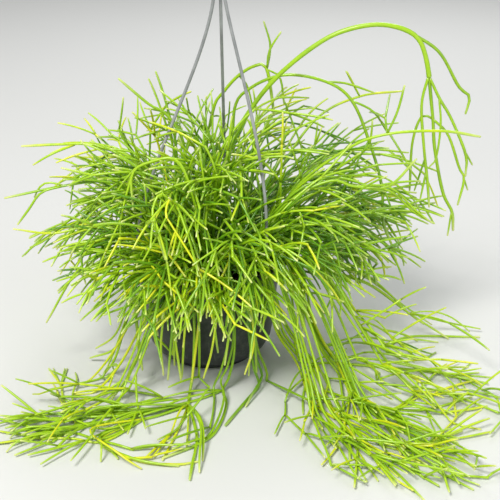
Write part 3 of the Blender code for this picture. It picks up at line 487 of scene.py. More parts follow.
# Routes of the stems that stand out, node by node: radius, then points
routes = {
    "arching_stem": [
        (2.1, [(10, 22, 88), (14, 26, 150), (20, 28, 190), (40, 26, 229), (67, 22, 263),
               (108, 18, 295), (148, 14, 306), (178, 10, 299), (189, 8, 283), (194, 6, 263)]),
        (1.4, [(178, 10, 299), (203, 14, 282), (223, 18, 251), (234, 20, 241), (232, 20, 226)]),
        (1.3, [(194, 6, 264), (189, 4, 239), (193, 2, 203), (199, 0, 166), (202, 0, 144)]),
        (1.0, [(197, 1, 178), (192, -6, 152)]),
        (1.0, [(195, 1, 190), (189, 8, 157)]),
        (1.5, [(194, 6, 264), (198, 8, 240), (201, 8, 222), (205, 10, 195), (216, 12, 153), (226, 12, 134),
               (229, 14, 115)]),
        (1.0, [(226, 12, 135), (223, 8, 112)]),
        (1.2, [(201, 8, 224), (191, 10, 226), (185, 14, 200), (186, 16, 154)]),
        (1.2, [(201, 8, 224), (215, 6, 210), (227, 4, 180), (232, 2, 170), (228, 0, 146)]),
        (1.0, [(231, 2, 171), (237, 6, 158)]),
        (1.3, [(194, 6, 263), (204, 2, 244), (215, 0, 227), (230, -4, 195), (231, -6, 176)]),
        (1.0, [(227, -3, 200), (237, -2, 185)]),
        (1.0, [(203, 2, 245), (206, -2, 222), (204, -4, 192), (199, -4, 184)]),
    ],
    "arching_stem_low": [
        (1.5, [(-10, 24, 88), (-6, 48, 160), (4, 60, 218), (14, 60, 235), (28, 58, 251), (44, 55, 261),
               (54, 52, 258), (61, 50, 216)]),
        (1.0, [(54, 52, 258), (57, 56, 279), (51, 58, 300)]),
        (1.0, [(54, 52, 258), (66, 54, 250), (70, 54, 226)]),
        (1.0, [(54, 52, 258), (56, 48, 276), (66, 46, 293)]),
        (1.0, [(28, 58, 251), (36, 62, 240), (42, 66, 214)]),
    ],
    "arching_stem_right": [
        (1.4, [(26, 14, 88), (24, 36, 160), (24, 44, 222), (40, 42, 244), (71, 36, 257), (107, 30, 252),
               (130, 26, 236), (147, 22, 199), (160, 16, 158), (162, 8, 126), (171, 2, 104)]),
        (1.1, [(107, 30, 252), (126, 40, 248), (152, 46, 238)]),
        (1.0, [(130, 26, 236), (150, 24, 226), (164, 22, 206)]),
        (1.0, [(147, 22, 200), (134, 14, 176), (130, 10, 150)]),
    ],
    "stems_right": [
        (1.3, [(43, 0, 90), (76, -12, 162), (122, -18, 204), (156, -24, 220), (202, -28, 224),
               (235, -28, 219)]),
        (1.1, [(156, -24, 220), (164, -22, 239), (169, -20, 261)]),
        (1.1, [(43, 0, 90), (84, 16, 118), (128, 22, 136), (175, 34, 145), (196, 38, 143)]),
    ],
    "stems_front_right": [
        (1.2, [(20, -19, 90), (70, -40, 162), (107, -42, 184), (127, -45, 180), (156, -50, 182),
               (178, -50, 206)]),
        (1.1, [(127, -45, 180), (158, -38, 174), (183, -36, 152), (200, -38, 143)]),
    ],
    "stems_back_right": [
        (1.2, [(30, 30, 90), (66, 50, 160), (102, 66, 208), (142, 70, 228), (181, 70, 233)]),
        (1.0, [(142, 70, 228), (129, 66, 252)]),
        (1.1, [(30, 30, 90), (100, 46, 172), (150, 52, 181), (189, 56, 177)]),
    ],
    "stems_left": [
        (1.3, [(-43, 0, 90), (-62, 8, 178), (-101, 12, 198), (-132, 16, 198), (-169, 20, 195)]),
        (1.0, [(-120, 14, 198), (-140, 6, 192), (-157, 6, 182)]),
        (1.2, [(-43, 0, 90), (-70, -6, 158), (-93, -6, 170), (-128, -8, 167), (-182, -10, 156)]),
        (1.1, [(-128, -8, 167), (-148, -12, 162), (-160, -14, 147), (-171, -16, 133)]),
        (1.3, [(-43, 0, 90), (-30, -2, 150), (-20, 4, 198), (-34, 2, 229), (-50, 0, 240), (-74, -4, 263)]),
        (1.1, [(-43, 0, 90), (-96, -12, 128), (-140, -16, 124), (-174, -20, 130)]),
        (1.0, [(-140, -16, 124), (-160, -6, 108), (-174, 0, 94)]),
    ],
    "stems_back_left": [
        (1.2, [(-30, 30, 90), (-30, 40, 180), (-35, 41, 214), (-42, 44, 242), (-47, 46, 257)]),
        (1.1, [(-30, 30, 90), (-63, 50, 168), (-96, 56, 172), (-125, 60, 171)]),
        (1.1, [(-30, 30, 90), (-92, 44, 128), (-140, 40, 112), (-174, 34, 98)]),
    ],
    "stems_front_left": [
        (1.2, [(-30, -30, 90), (-52, -26, 152), (-72, -24, 175), (-110, -26, 186), (-125, -26, 190)]),
        (1.1, [(-30, -30, 90), (-76, -50, 122), (-112, -46, 104), (-147, -44, 48)]),
        (1.1, [(-76, -50, 122), (-110, -62, 106), (-129, -64, 88)]),
        (1.2, [(-30, -30, 90), (-58, -50, 100), (-72, -54, 60), (-88, -50, 16), (-113, -36, 1.4)]),
        (1.1, [(-72, -54, 60), (-84, -62, 22), (-96, -60, 1.4)]),
    ],
    "stems_front": [
        (1.2, [(0, -24, 90), (-8, -46, 160), (-22, -44, 202), (-46, -42, 201), (-62, -42, 190),
               (-62, -48, 160)]),
        (1.2, [(0, -24, 90), (-18, -60, 150), (-34, -68, 182), (-42, -76, 172), (-40, -84, 160),
               (-32, -90, 132)]),
        (1.2, [(0, -24, 90), (14, -62, 118), (-4, -84, 98), (-20, -92, 66)]),
        (1.1, [(0, -24, 90), (-14, -56, 122), (-30, -84, 100), (-38, -94, 58), (-37, -96, 24)]),
        (1.1, [(0, -24, 90), (8, -58, 126), (12, -88, 100), (6, -98, 52), (-2, -98, 22)]),
        (1.1, [(0, -24, 90), (20, -56, 122), (36, -84, 96), (42, -94, 56), (34, -98, 26)]),
    ],
    "trailing_left": [
        (1.5, [(2, -47, 88), (-6, -60, 108), (-11, -72, 105), (-10, -79, 60), (-12, -82, 20),
               (-15, -93, 2.5), (-15, -112, 2.2)]),
        (1.2, [(-15, -110, 2.2), (-40, -115, 1.6), (-67, -116, 1.4), (-91, -122, 1.4)]),
        (1.1, [(-67, -116, 1.4), (-99, -127, 1.4), (-123, -163, 1.4)]),
        (1.2, [(-15, -111, 2.2), (-52, -131, 1.4), (-92, -136, 1.4), (-109, -140, 1.4)]),
        (1.1, [(-107, -139, 1.4), (-124, -104, 1.4), (-132, -77, 1.4), (-148, -48, 1.4)]),
        (1.0, [(-132, -78, 1.4), (-131, -48, 1.4)]),
        (1.1, [(-52, -131, 1.4), (-82, -159, 1.4), (-110, -150, 1.4), (-149, -146, 1.4)]),
        (1.1, [(-106, -150, 1.4), (-147, -160, 1.4), (-166, -165, 1.4)]),
        (1.1, [(-52, -131, 1.4), (-85, -162, 1.4), (-53, -188, 1.4), (-21, -194, 1.4), (-3, -190, 1.4)]),
        (1.1, [(-85, -162, 1.4), (-72, -178, 1.4), (-67, -186, 1.4)]),
        (1.4, [(-15, -110, 2.2), (-8, -140, 1.8), (-5, -163, 1.7), (-7, -194, 1.7), (-8, -213, 1.7)]),
        (1.1, [(-15, -110, 2.2), (-22, -148, 1.4), (-31, -188, 1.4)]),
        (1.3, [(2, -47, 90), (13, -61, 108), (22, -72, 103), (25, -80, 46), (20, -82, 14), (14, -86, 2),
               (18, -107, 1.6), (13, -139, 1.6), (2, -162, 1.6), (-31, -186, 1.6)]),
        (1.1, [(14, -86, 2), (-6, -100, 1.6), (-27, -110, 1.6), (-46, -118, 1.6)]),
        (1.2, [(2, -47, 90), (-20, -66, 107), (-44, -80, 70), (-66, -90, 24), (-84, -104, 1.4)]),
        (1.2, [(2, -47, 90), (-26, -64, 110), (-54, -74, 66), (-78, -82, 24), (-100, -88, 1.4),
               (-118, -92, 1.4)]),
        (1.0, [(-78, -82, 24), (-92, -72, 6), (-100, -58, 1.4)]),
        (1.4, [(13, -61, 108), (31, -68, 105), (40, -76, 30), (46, -74, 5), (46, -80, 2), (38, -97, 1.7),
               (29, -116, 1.7), (18, -140, 1.7)]),
    ],
    "trailing_right": [
        (1.4, [(36, -34, 88), (46, -49, 108), (54, -62, 99), (68, -52, 44), (86, -44, 14), (95, -42, 1.9),
               (104, -86, 1.6), (118, -157, 1.5), (118, -188, 1.5)]),
        (1.1, [(95, -44, 1.9), (86, -90, 1.5), (84, -122, 1.4)]),
        (1.1, [(91, -66, 1.5), (94, -122, 1.4)]),
        (1.3, [(95, -42, 1.9), (114, -38, 1.6), (186, -50, 1.5), (230, -59, 1.5)]),
        (1.0, [(228, -59, 1.4), (249, -55, 1.4)]),
        (1.0, [(228, -59, 1.4), (247, -77, 1.4)]),
        (1.0, [(228, -59, 1.4), (232, -87, 1.4)]),
        (1.0, [(116, -146, 1.4), (137, -214, 1.4)]),
        (1.1, [(110, -112, 1.5), (125, -143, 1.4), (158, -174, 1.4), (196, -158, 1.4), (215, -148, 1.4)]),
        (1.1, [(125, -143, 1.5), (141, -179, 1.4), (169, -238, 1.4)]),
        (1.0, [(156, -173, 1.4), (187, -204, 1.4), (208, -225, 1.4)]),
        (1.4, [(36, -34, 90), (54, -36, 116), (69, -42, 112), (90, -48, 56), (106, -46, 20),
               (121, -50, 1.9), (129, -92, 1.6), (135, -119, 1.6)]),
        (1.2, [(36, -34, 90), (62, -26, 124), (94, -34, 104), (132, -52, 58), (164, -72, 20),
               (190, -92, 1.4)]),
        (1.2, [(36, -34, 90), (62, -48, 120), (94, -66, 82), (120, -86, 30), (138, -112, 1.4),
               (162, -142, 1.4)]),
        (1.2, [(36, -34, 90), (58, -56, 112), (82, -80, 66), (98, -102, 18), (106, -130, 1.4),
               (128, -168, 1.4)]),
        (1.0, [(132, -52, 58), (160, -44, 40), (188, -40, 14)]),
        (1.0, [(120, -86, 30), (148, -90, 14), (172, -104, 1.4)]),
        (1.1, [(104, -46, 24), (140, -14, 10), (171, -7, 1.8), (195, 13, 1.4), (264, 12, 1.4)]),
        (1.1, [(69, -42, 112), (110, -20, 88), (150, -2, 66), (193, 12, 28), (233, 9, 1.5)]),
        (1.0, [(193, 12, 28), (235, 22, 12), (267, 22, 5)]),
        (1.1, [(160, -10, 5), (193, -48, 1.5), (208, -84, 1.4), (225, -94, 1.4)]),
        (1.0, [(182, 2, 1.7), (199, -30, 1.4), (216, -18, 1.4)]),
        (1.1, [(134, -117, 1.6), (161, -116, 1.4), (186, -92, 1.4), (205, -85, 1.4)]),
        (1.1, [(161, -116, 1.5), (191, -116, 1.4), (234, -96, 1.4)]),
        (1.0, [(190, -116, 1.4), (200, -152, 1.4)]),
        (1.1, [(129, -92, 1.6), (158, -124, 1.4), (208, -166, 1.4)]),
        (1.0, [(158, -124, 1.4), (185, -176, 1.4), (190, -224, 1.4)]),
    ],
}

# Random stems of each clump: seed, first stems, reach, lowest and highest rise in degrees
clumps = {
    "stems_right": (17, 9, 88, 2, 58),
    "stems_back_right": (23, 7, 86, 5, 60),
    "stems_back": (31, 8, 80, 0, 58),
    "stems_back_left": (47, 8, 80, 0, 56),
    "stems_left": (59, 8, 80, 0, 54),
    "stems_front_left": (61, 8, 80, -5, 58),
    "stems_front": (73, 7, 78, -10, 60),
    "stems_front_right": (83, 8, 84, -5, 60),
    "stems_centre": (97, 8, 74, 40, 86),
}

# Finer stems that only the finished plant has: first stems of each clump, how many hang over the rim, how
# much longer than usual the first ones are, and how many degrees steeper than part.py's they may stand
infill = {
    "stems_right": (30, 0, 1.25, 10), "stems_back_right": (42, 1, 1.6, 22), "stems_back": (26, 2, 1.4, 24),
    "stems_back_left": (28, 2, 1.4, 22), "stems_left": (26, 0, 1.15, 10), "stems_front_left": (18, 4, 1.1, 8),
    "stems_front": (20, 15, 1.0, 8), "stems_front_right": (24, 9, 1.1, 8), "stems_centre": (44, 0, 1.6, 4),
}
fineShape = {
    "radius": 1.18, "thinner": 0.05, "thinnest": 0.86, "uneven": (0.9, 1.1), "tries": 6, "wander": 0.10,
    "wanderMore": 0.09, "droops": (0.5, 1.25), "firstReach": (30, 70), "laterReach": (28, 46),
    "whorlReach": (0.7, 1.2), "shorten": 0.92, "lean": (0.16, 0.68), "again": 0.74, "brighter": (0.03, 0.06),
    "fan": 42, "wideFan": 110, "crossing": 0.38, "leastRise": 0.3, "rootSpread": (0.2, 0.9), "sunk": 3.0,
    "ragged": (0.78, 1.06), "pile": (0.0, 11.0), "sprayEdge": (0.7, 1.15), "levelOut": 0.06, "boxMargin": 2.0,
    "potGap": 0.6, "potInside": 60.0, "strandGap": 1.0, "tone": (0.50, 0.13), "accent": 0.30, "accents": 0.09,
}
carpetShape = {"stems": 80, "ring": 50.0, "rise": (20, 82), "reach": (26, 62), "laterReach": (24, 46)}
hangingShape = {
    "fan": 34, "drop": (0.25, 1.2), "deepest": 72, "lips": [(56, 68, 6, 112, 134), (78, 90, 10, 92, 106)],
    "end": (86, 104, 16, 100), "steps": 6, "uneven": (0.9, 1.05), "lighter": 0.1, "forking": 0.8,
    "laterReach": (24, 58),
}
besideShape = {
    "spread": 22.0, "share": (0.62, 1.0), "farTip": 1.12, "farShare": 0.55, "lowLift": (0, 14),
    "highLift": (-3, 6), "thinner": (0.8, 0.95), "shift": 0.08, "laterReach": (34, 56),
    "companions": {"trailing_left": 2, "trailing_right": 1}, "falling": 4, "rim": 80,
}
buddingShape = {
    "lowShare": 0.55, "highShare": 0.3, "tipReach": (30, 52), "sideShare": 0.6, "lean": (0.3, 0.6),
    "sideReach": (34, 66), "laterReach": (26, 44),
}
floorBand = 20.0  # stems that end below this height lie on the floor

# The bush's outside: ellipsoids by their middle, half widths and how far each reaches down
lobes = [((8, 6, 100), (162, 150, 126), 66), ((92, 32, 136), (132, 112, 122), 90),
         ((-20, 30, 126), (130, 100, 124), 90)]
# The sprays on the floor: ellipses by their middle and half widths
sprays = [((-84, -140), (92, 58)), ((164, -118), (100, 112))]


def sampled(points, gap):
    found = []
    for a, b in zip(points[:-1], points[1:]):
        count = max(2, int((b - a).length / gap) + 1)
        for step in range(count):
            found.append(a.lerp(b, step / count))
    found.append(points[-1])
    return np.array([tuple(point) for point in found])


class Thicket:
    # Keeps every stem that stands, so that stems of two clumps never touch
    def __init__(self):
        self.starts, self.ends, self.radii, self.owners = [], [], [], []

    def add(self, owner, points, radius):
        for a, b in zip(points[:-1], points[1:]):
            self.starts.append(tuple(a))
            self.ends.append(tuple(b))
            self.radii.append(radius)
            self.owners.append(owner)

    def gaps(self, spots, chosen):
        starts = np.array(self.starts)[chosen]
        along = np.array(self.ends)[chosen] - starts
        offset = spots[:, None, :] - starts[None]
        share = np.clip((offset * along).sum(2) / np.maximum((along * along).sum(1), 1e-9), 0, 1)
        near = starts[None] + share[..., None] * along[None]
        return np.linalg.norm(spots[:, None, :] - near, axis=2), near

    def room(self, owner, points, radius, own=False):
        spots = sampled(points, stemShape["along"])
        if own:
            spots = spots[np.linalg.norm(spots - spots[0], axis=1) > stemShape["forkFree"]]
        chosen = np.array([(name == owner) == own for name in self.owners], bool)
        if not chosen.any() or not len(spots):
            return 99.0
        apart, near = self.gaps(spots, chosen)
        return float((apart - np.array(self.radii)[chosen]).min()) - radius

    def seat(self, owner, point):
        chosen = np.array([name == owner for name in self.owners], bool)
        apart, near = self.gaps(np.array([tuple(point)]), chosen)
        return Vector(near[0, int(apart[0].argmin())])


def clearOfPot(points, radius):
    spots = sampled(points, stemShape["along"])
    start = spots[0]
    top, neck = potShape["top"], potShape["body"][0][0]
    for x, y, z in spots:
        out = math.hypot(x, y)
        if z > top + radius + 1.5 or out > potShape["rimRadius"] + radius + 1.5:
            continue
        if z < top - potShape["skirtDrop"] and out > neck + radius + 2:
            continue
        if math.dist((x, y, z), start) < stemShape["crownFree"] and z > soilTop[-1][1]:
            continue
        inside = neck - potShape["wall"] - radius - 2
        if out < inside and z > stemShape["crownTop"] + radius + stemShape["clear"]:
            continue
        return False
    return True


def smoothRoute(points, perSpan):
    # A cubic through every point, with its slope taken from the two neighbours
    knots = [Vector(point) for point in points]
    if len(knots) < 3 or perSpan < 2:
        return knots
    padded = [knots[0] * 2 - knots[1]] + knots + [knots[-1] * 2 - knots[-2]]
    route = [knots[0]]
    for a, b, c, d in zip(padded, padded[1:], padded[2:], padded[3:]):
        for step in range(1, perSpan + 1):
            t = step / perSpan
            route.append((b * 2 + (c - a) * t + (a * 2 - b * 5 + c * 4 - d) * t * t
                          + (b * 3 - a - c * 3 + d) * t ** 3) / 2)
    return route


def bentClear(thicket, owner, route, radius):
    # Lifts or swings the middle of a route until it passes its neighbours
    low = radius * stemShape["section"] + stemShape["floorClear"]
    last = len(route) - 1
    if owner in thicket.owners and math.dist(route[0][:2], crowns[owner][:2]) > crowns[owner][2]:
        route = [thicket.seat(owner, route[0])] + route[1:]
    for amount in range(0, 15, 2):
        for turn in range(8 if amount else 1):
            angle = math.tau * turn / 8
            shift = Vector((0.5 * math.cos(angle), math.cos(angle), math.sin(angle))) * amount
            bent = []
            for number, point in enumerate(route):
                weight = math.sin(math.pi * number / (last + 0.6)) if number else 0.0
                moved = point + shift * weight
                moved.z = max(moved.z, low)
                bent.append(moved)
            if thicket.room(owner, bent, radius) >= stemShape["clear"] and clearOfPot(bent, radius):
                return bent
    return bent


def drooping(start, heading, reach, droop, rng, floor=0.0):
    # A stem that starts along its heading and bends over under its own weight
    steps = stemShape["steps"]
    spot = start.copy()
    way = heading.normalized()
    sway = Vector((rng.uniform(-1, 1), rng.uniform(-1, 1), 0)) * stemShape["sway"]
    track = [spot.copy()]
    for count in range(steps):
        way = (way + Vector((0, 0, -droop / steps)) + sway / 4).normalized()
        spot = spot + way * (reach / steps)
        spot.z = max(spot.z, stemShape["tip"] + 0.4 + floor)
        track.append(spot.copy())
    return track, way


def pointing(turn, rise):
    return Vector((math.cos(turn) * math.cos(rise), math.sin(turn) * math.cos(rise), math.sin(rise)))


def forked(way, lean, turn):
    side = way.cross(Vector((0.3, 0.2, 1))).normalized()
    up = way.cross(side).normalized()
    across = side * math.cos(turn) + up * math.sin(turn)
    return (way * math.cos(lean) + across * math.sin(lean)).normalized()


class Stem:
    def __init__(self, path, radius, order, tone):
        self.path, self.radius, self.order, self.tone = path, radius, order, tone
        self.forks = False


def grow(thicket, owner, start, heading, reach, order, rng, stems, tone):
    radius = stemShape["leader"] if order == 1 else stemShape["tip"] + 0.1 * (3 - order)
    for attempt in range(stemShape["tries"]):
        wander = stemShape["wander"] + stemShape["wanderMore"] * attempt
        way = forked(heading, rng.uniform(0, wander), rng.uniform(0, math.tau))
        track, last = drooping(start, way, reach, stemShape["droop"][order], rng)
        points = [track[0], track[stemShape["steps"] // 2], track[-1]]
        if not clearOfPot(points, radius) or thicket.room(owner, points, radius) < stemShape["clear"]:
            continue
        crowded = thicket.room(owner, points, radius, own=True) < stemShape["clear"]
        if crowded and attempt < stemShape["tries"] - 2:
            continue
        thicket.add(owner, points, radius)
        stem = Stem(track, radius, order, tone)
        stems.append(stem)
        if order < 3:
            stem.forks = True
            fork(thicket, owner, points[-1], last, reach, order, rng, stems, tone)
        return


def fork(thicket, owner, tip, way, reach, order, rng, stems, tone):
    count = rng.choice(stemShape["forks"][order])
    first = rng.uniform(0, math.tau)
    share = stemShape["share"]
    for number in range(count):
        turn = first + math.tau * number / count
        heading = forked(way, rng.uniform(*stemShape["lean"]), turn)
        length = reach / share[order] * share[order + 1] * rng.uniform(*stemShape["laterReach"])
        grow(thicket, owner, tip - way * stemShape["sink"], heading, length, order + 1, rng, stems, tone)


def clump(thicket, owner, stems, shades):
    seed, count, reach, low, high = clumps[owner]
    rng = random.Random(seed)
    x, y, spread = crowns[owner]
    middle = math.atan2(y, x) if math.hypot(x, y) > 10 else None
    for number in range(count):
        if middle is None:
            turn = math.tau * (number + rng.uniform(-0.3, 0.3)) / count
        else:
            turn = middle + math.radians(rng.uniform(-stemShape["spread"], stemShape["spread"]))
        rise = math.radians(low + (high - low) * (number + rng.random()) / count)
        heading = pointing(turn, rise)
        around = rng.uniform(0, math.tau)
        start = Vector((x + spread * 0.5 * math.cos(around), y + spread * 0.5 * math.sin(around),
                        stemShape["crownTop"] - 2))
        heading.z = max(heading.z, stemShape["lowestRise"])
        grow(thicket, owner, start, heading, reach * rng.uniform(*stemShape["firstReach"]), 1, rng, stems,
             shades.gauss(*stemShape["tone"]))


# Finer growth: whorls at the tips and sides of what stands already

strandSpots = np.array([tuple(point) for side in strandShape["angles"] for point in strandPoints(side, 60)])


def insideBox(point):
    margin = fineShape["boxMargin"]
    sides = zip(cadBox[0][:2], point[:2], cadBox[1][:2])
    return all(low / mm + margin < value < high / mm - margin for low, value, high in sides)


def outreaches(points):
    # How far out points lie: 1 on the outside of the bush's lobes, ellipsoids flatter below than above
    found = []
    for middle, (wide, deep, tall), below in lobes:
        away = points - np.array(middle)
        high = away[:, 2] / np.where(away[:, 2] > 0, tall, below)
        found.append(np.sqrt((away[:, 0] / wide) ** 2 + (away[:, 1] / deep) ** 2 + high ** 2))
    return np.min(found, axis=0)


def outreach(point):
    return float(outreaches(np.array([tuple(point)]))[0])


def sprayed(point, rng):
    # Whether a point lies in one of the two sprays on the floor, whose edges are soft
    return any(math.hypot((point.x - x) / wide, (point.y - y) / deep) < rng.uniform(*fineShape["sprayEdge"])
               for (x, y), (wide, deep) in sprays)


def potFree(track, radius):
    # Quick test: outside the pot's shell, above its soil, off the strands and inside the CAD box
    reach = radius + fineShape["potGap"]
    for point in track[2:]:
        out = math.hypot(point.x, point.y)
        if out < potShape["rimRadius"] + reach and point.z < potShape["top"] + reach:
            if out > fineShape["potInside"] or point.z < soilTop[0][1] + radius:
                return False
    spots = np.array([tuple(point) for point in track])
    apart = np.linalg.norm(spots[:, None] - strandSpots[None], axis=2).min()
    clear = apart > radius + strandShape["radius"] + fineShape["strandGap"]
    return clear and all(insideBox(point) for point in track)


def addFine(start, heading, reach, order, rng, stems, tone, free=False):
    # One fine stem, where there is room. Those of the floor sprays lie on each other, so each has a floor
    # of its own.
    limit = rng.uniform(*fineShape["ragged"])
    floor = rng.uniform(*fineShape["pile"]) if free else 0.0
    radius = max(fineShape["thinnest"], fineShape["radius"] - fineShape["thinner"] * order)
    radius *= rng.uniform(*fineShape["uneven"])
    for attempt in range(fineShape["tries"]):
        wander = fineShape["wander"] + fineShape["wanderMore"] * attempt
        way = forked(heading, rng.uniform(0, wander), rng.uniform(0, math.tau))
        droop = stemShape["droop"][min(order, 4)] * rng.uniform(*fineShape["droops"])
        track, last = drooping(start, way, reach, droop, rng, min(floor, start.z))
        if potFree(track, radius) and (outreach(track[-1]) < limit or free and sprayed(track[-1], rng)):
            stem = Stem(track, radius, order, tone)
            stems.append(stem)
            return stem, last
    return None, None


def whorl(stem, last, reach, order, rng, stems, depth, free=False):
    # One to four thinner stems from one tip, spread evenly round it
    count = rng.choice((1, 2, 2, 3) if free or order > 2 else (2, 2, 3, 3, 4))
    first = rng.uniform(0, math.tau)
    if free:
        last = Vector((last.x, last.y, max(last.z, fineShape["levelOut"]))).normalized()
    for number in range(count):
        heading = forked(last, rng.uniform(*fineShape["lean"]), first + math.tau * number / count)
        length = reach * rng.uniform(*fineShape["whorlReach"])
        child, way = addFine(stem.path[-1] - last * 0.5, heading, length, order + 1, rng, stems,
                             stem.tone + rng.gauss(*fineShape["brighter"]), free)
        if child:
            stem.forks = True
            if depth > 1 and rng.random() < fineShape["again"]:
                whorl(child, way, reach * fineShape["shorten"], order + 1, rng, stems, depth - 1, free)


def freshTone(shades):
    # Most stems are green or lime, and one here and there is nearly yellow
    tone = shades.gauss(*fineShape["tone"])
    return tone + (fineShape["accent"] if shades.random() < fineShape["accents"] else 0)


def thicken(owner, stems, rng, shades):
    # More first stems from the crown of a clump, of which some leave it sideways and cross the others
    x, y, spread = crowns[owner]
    low, high = clumps[owner][3:]
    number, longer, steeper = infill[owner][0], infill[owner][2], infill[owner][3]
    middle = math.atan2(y, x) if math.hypot(x, y) > 10 else None
    for index in range(number):
        fan = fineShape["wideFan"] if rng.random() < fineShape["crossing"] else fineShape["fan"]
        turn = math.tau * index / number if middle is None else middle + math.radians(rng.uniform(-fan, fan))
        heading = pointing(turn, math.radians(low + (high + steeper - low) * (index + rng.random()) / number))
        heading.z = max(heading.z, fineShape["leastRise"])
        around, out = rng.uniform(0, math.tau), spread * rng.uniform(*fineShape["rootSpread"])
        start = Vector((x + out * math.cos(around), y + out * math.sin(around),
                        stemShape["crownTop"] - fineShape["sunk"]))
        reach = longer * rng.uniform(*fineShape["firstReach"])
        stem, last = addFine(start, heading, reach, 1, rng, stems, freshTone(shades))
        if stem:
            whorl(stem, last, rng.uniform(*fineShape["laterReach"]), 1, rng, stems, 3)


def carpet(stems, rng, shades):
    # Short stems that stand anywhere in the soil and cross each other over it
    for number in range(carpetShape["stems"]):
        turn, out = rng.uniform(0, math.tau), carpetShape["ring"] * math.sqrt(rng.random())
        start = Vector((out * math.cos(turn), out * math.sin(turn), soilTop[0][1] - 1))
        heading = pointing(rng.uniform(0, math.tau), math.radians(rng.uniform(*carpetShape["rise"])))
        stem, last = addFine(start, heading, rng.uniform(*carpetShape["reach"]), 1, rng, stems,
                             freshTone(shades))
        if stem:
            whorl(stem, last, rng.uniform(*carpetShape["laterReach"]), 2, rng, stems, 2)


def hanging(owner, stems, rng, shades):
    # Stems that arch over the rim and hang down outside the pot
    x, y, spread = crowns[owner]
    middle = math.atan2(y, x)
    for index in range(infill[owner][1]):
        turn = middle + math.radians(rng.uniform(-hangingShape["fan"], hangingShape["fan"]))
        out, across = pointing(turn, 0), pointing(turn + math.pi / 2, 0)
        drop = rng.uniform(*hangingShape["drop"])
        knots = [Vector((x, y, stemShape["crownTop"] - fineShape["sunk"]))]
        for near, far, aside, low, high in hangingShape["lips"]:
            knot = out * rng.uniform(near, far) + across * rng.uniform(-aside, aside)
            knots.append(knot + Vector((0, 0, rng.uniform(low, high))))
        near, far, aside, height = hangingShape["end"]
        knot = out * rng.uniform(near, far) + across * rng.uniform(-aside, aside)
        knots.append(knot + Vector((0, 0, height - hangingShape["deepest"] * drop)))
        track = smoothRoute(knots, hangingShape["steps"])
        radius = fineShape["radius"] * rng.uniform(*hangingShape["uneven"])
        if potFree(track, radius):
            stem = Stem(track, radius, 2, freshTone(shades) + hangingShape["lighter"])
            stems.append(stem)
            last = (track[-1] - track[-2]).normalized()
            if rng.random() < hangingShape["forking"]:
                whorl(stem, last, rng.uniform(*hangingShape["laterReach"]), 2, rng, stems, 2)


def beside(stem, stems, rng, low):
    # A stem that leaves with another one and swings slowly away from it, shorter where that one goes far out
    far = not low and outreach(stem.path[-1]) > besideShape["farTip"]
    share = rng.uniform(*besideShape["share"]) * (besideShape["farShare"] if far else 1.0)
    path = stem.path[:max(4, int(len(stem.path) * share))]
    across = (path[-1] - path[0]).normalized().cross(Vector((0, 0, 1))).normalized()
    swing = besideShape["spread"] * rng.uniform(-1, 1)
    lift = rng.uniform(*besideShape["lowLift" if low else "highLift"])
    radius = stem.radius * rng.uniform(*besideShape["thinner"])
    track = []
    for number, point in enumerate(path):
        share = number / (len(path) - 1)
        moved = point + across * swing * share + Vector((0, 0, lift * math.sin(math.pi * share)))
        moved.z = max(moved.z, radius + stemShape["floorClear"])
        track.append(moved)
    if potFree(track, radius):
        made = Stem(track, radius, 2, stem.tone + rng.gauss(0, besideShape["shift"]))
        stems.append(made)
        last = (track[-1] - track[-2]).normalized()
        whorl(made, last, rng.uniform(*besideShape["laterReach"]), 2, rng, stems, 2, low)


def budding(stems, rng):
    # Side shoots and tip whorls on the stems that the part has already
    for stem in list(stems):
        path = [Vector(point) for point in stem.path]
        last = (path[-1] - path[-2]).normalized()
        low = path[-1].z < floorBand
        if not stem.forks and rng.random() < buddingShape["lowShare" if low else "highShare"]:
            whorl(stem, last, rng.uniform(*buddingShape["tipReach"]), max(2, stem.order), rng, stems, 1, low)
        if stem.order <= 2 and len(path) > 4 and rng.random() < buddingShape["sideShare"]:
            place = rng.randint(len(path) // 2, len(path) - 2)
            way = (path[place + 1] - path[place]).normalized()
            heading = forked(way, rng.uniform(*buddingShape["lean"]), rng.uniform(0, math.tau))
            child, tip = addFine(path[place], heading, rng.uniform(*buddingShape["sideReach"]), 3, rng, stems,
                                 stem.tone, low)
            if child and rng.random() < buddingShape["sideShare"]:
                whorl(child, tip, rng.uniform(*buddingShape["laterReach"]), 3, rng, stems, 1, low)


# Stems with a route of their own, with their tone and how much it varies by the start of their names
routeShape = {
    "thick": 2.0, "smooth": 6, "leader": 1.2, "joint": 6.0,
    "tone": {"trailing": (0.60, 0.10), "arching": (0.54, 0.03), "stems": (0.64, 0.10)},
}


def routed(thicket, owner, shades):
    found = []
    for radius, points in routes.get(owner, []):
        route = smoothRoute(points, 2 if radius > routeShape["thick"] else 1)
        route = bentClear(thicket, owner, route, radius)
        thicket.add(owner, route, radius)
        tone = shades.gauss(*routeShape["tone"][owner.split("_")[0]])
        order = 1 if radius >= routeShape["leader"] else 2
        found.append(Stem(smoothRoute(route, routeShape["smooth"]), radius, order, tone))
    for stem in found:
        # A route that others carry on from ends in their joint
        gaps = [(other.path[0] - stem.path[-1]).length for other in found]
        stem.forks = any(0 < gap < routeShape["joint"] for gap in gaps)
    return found


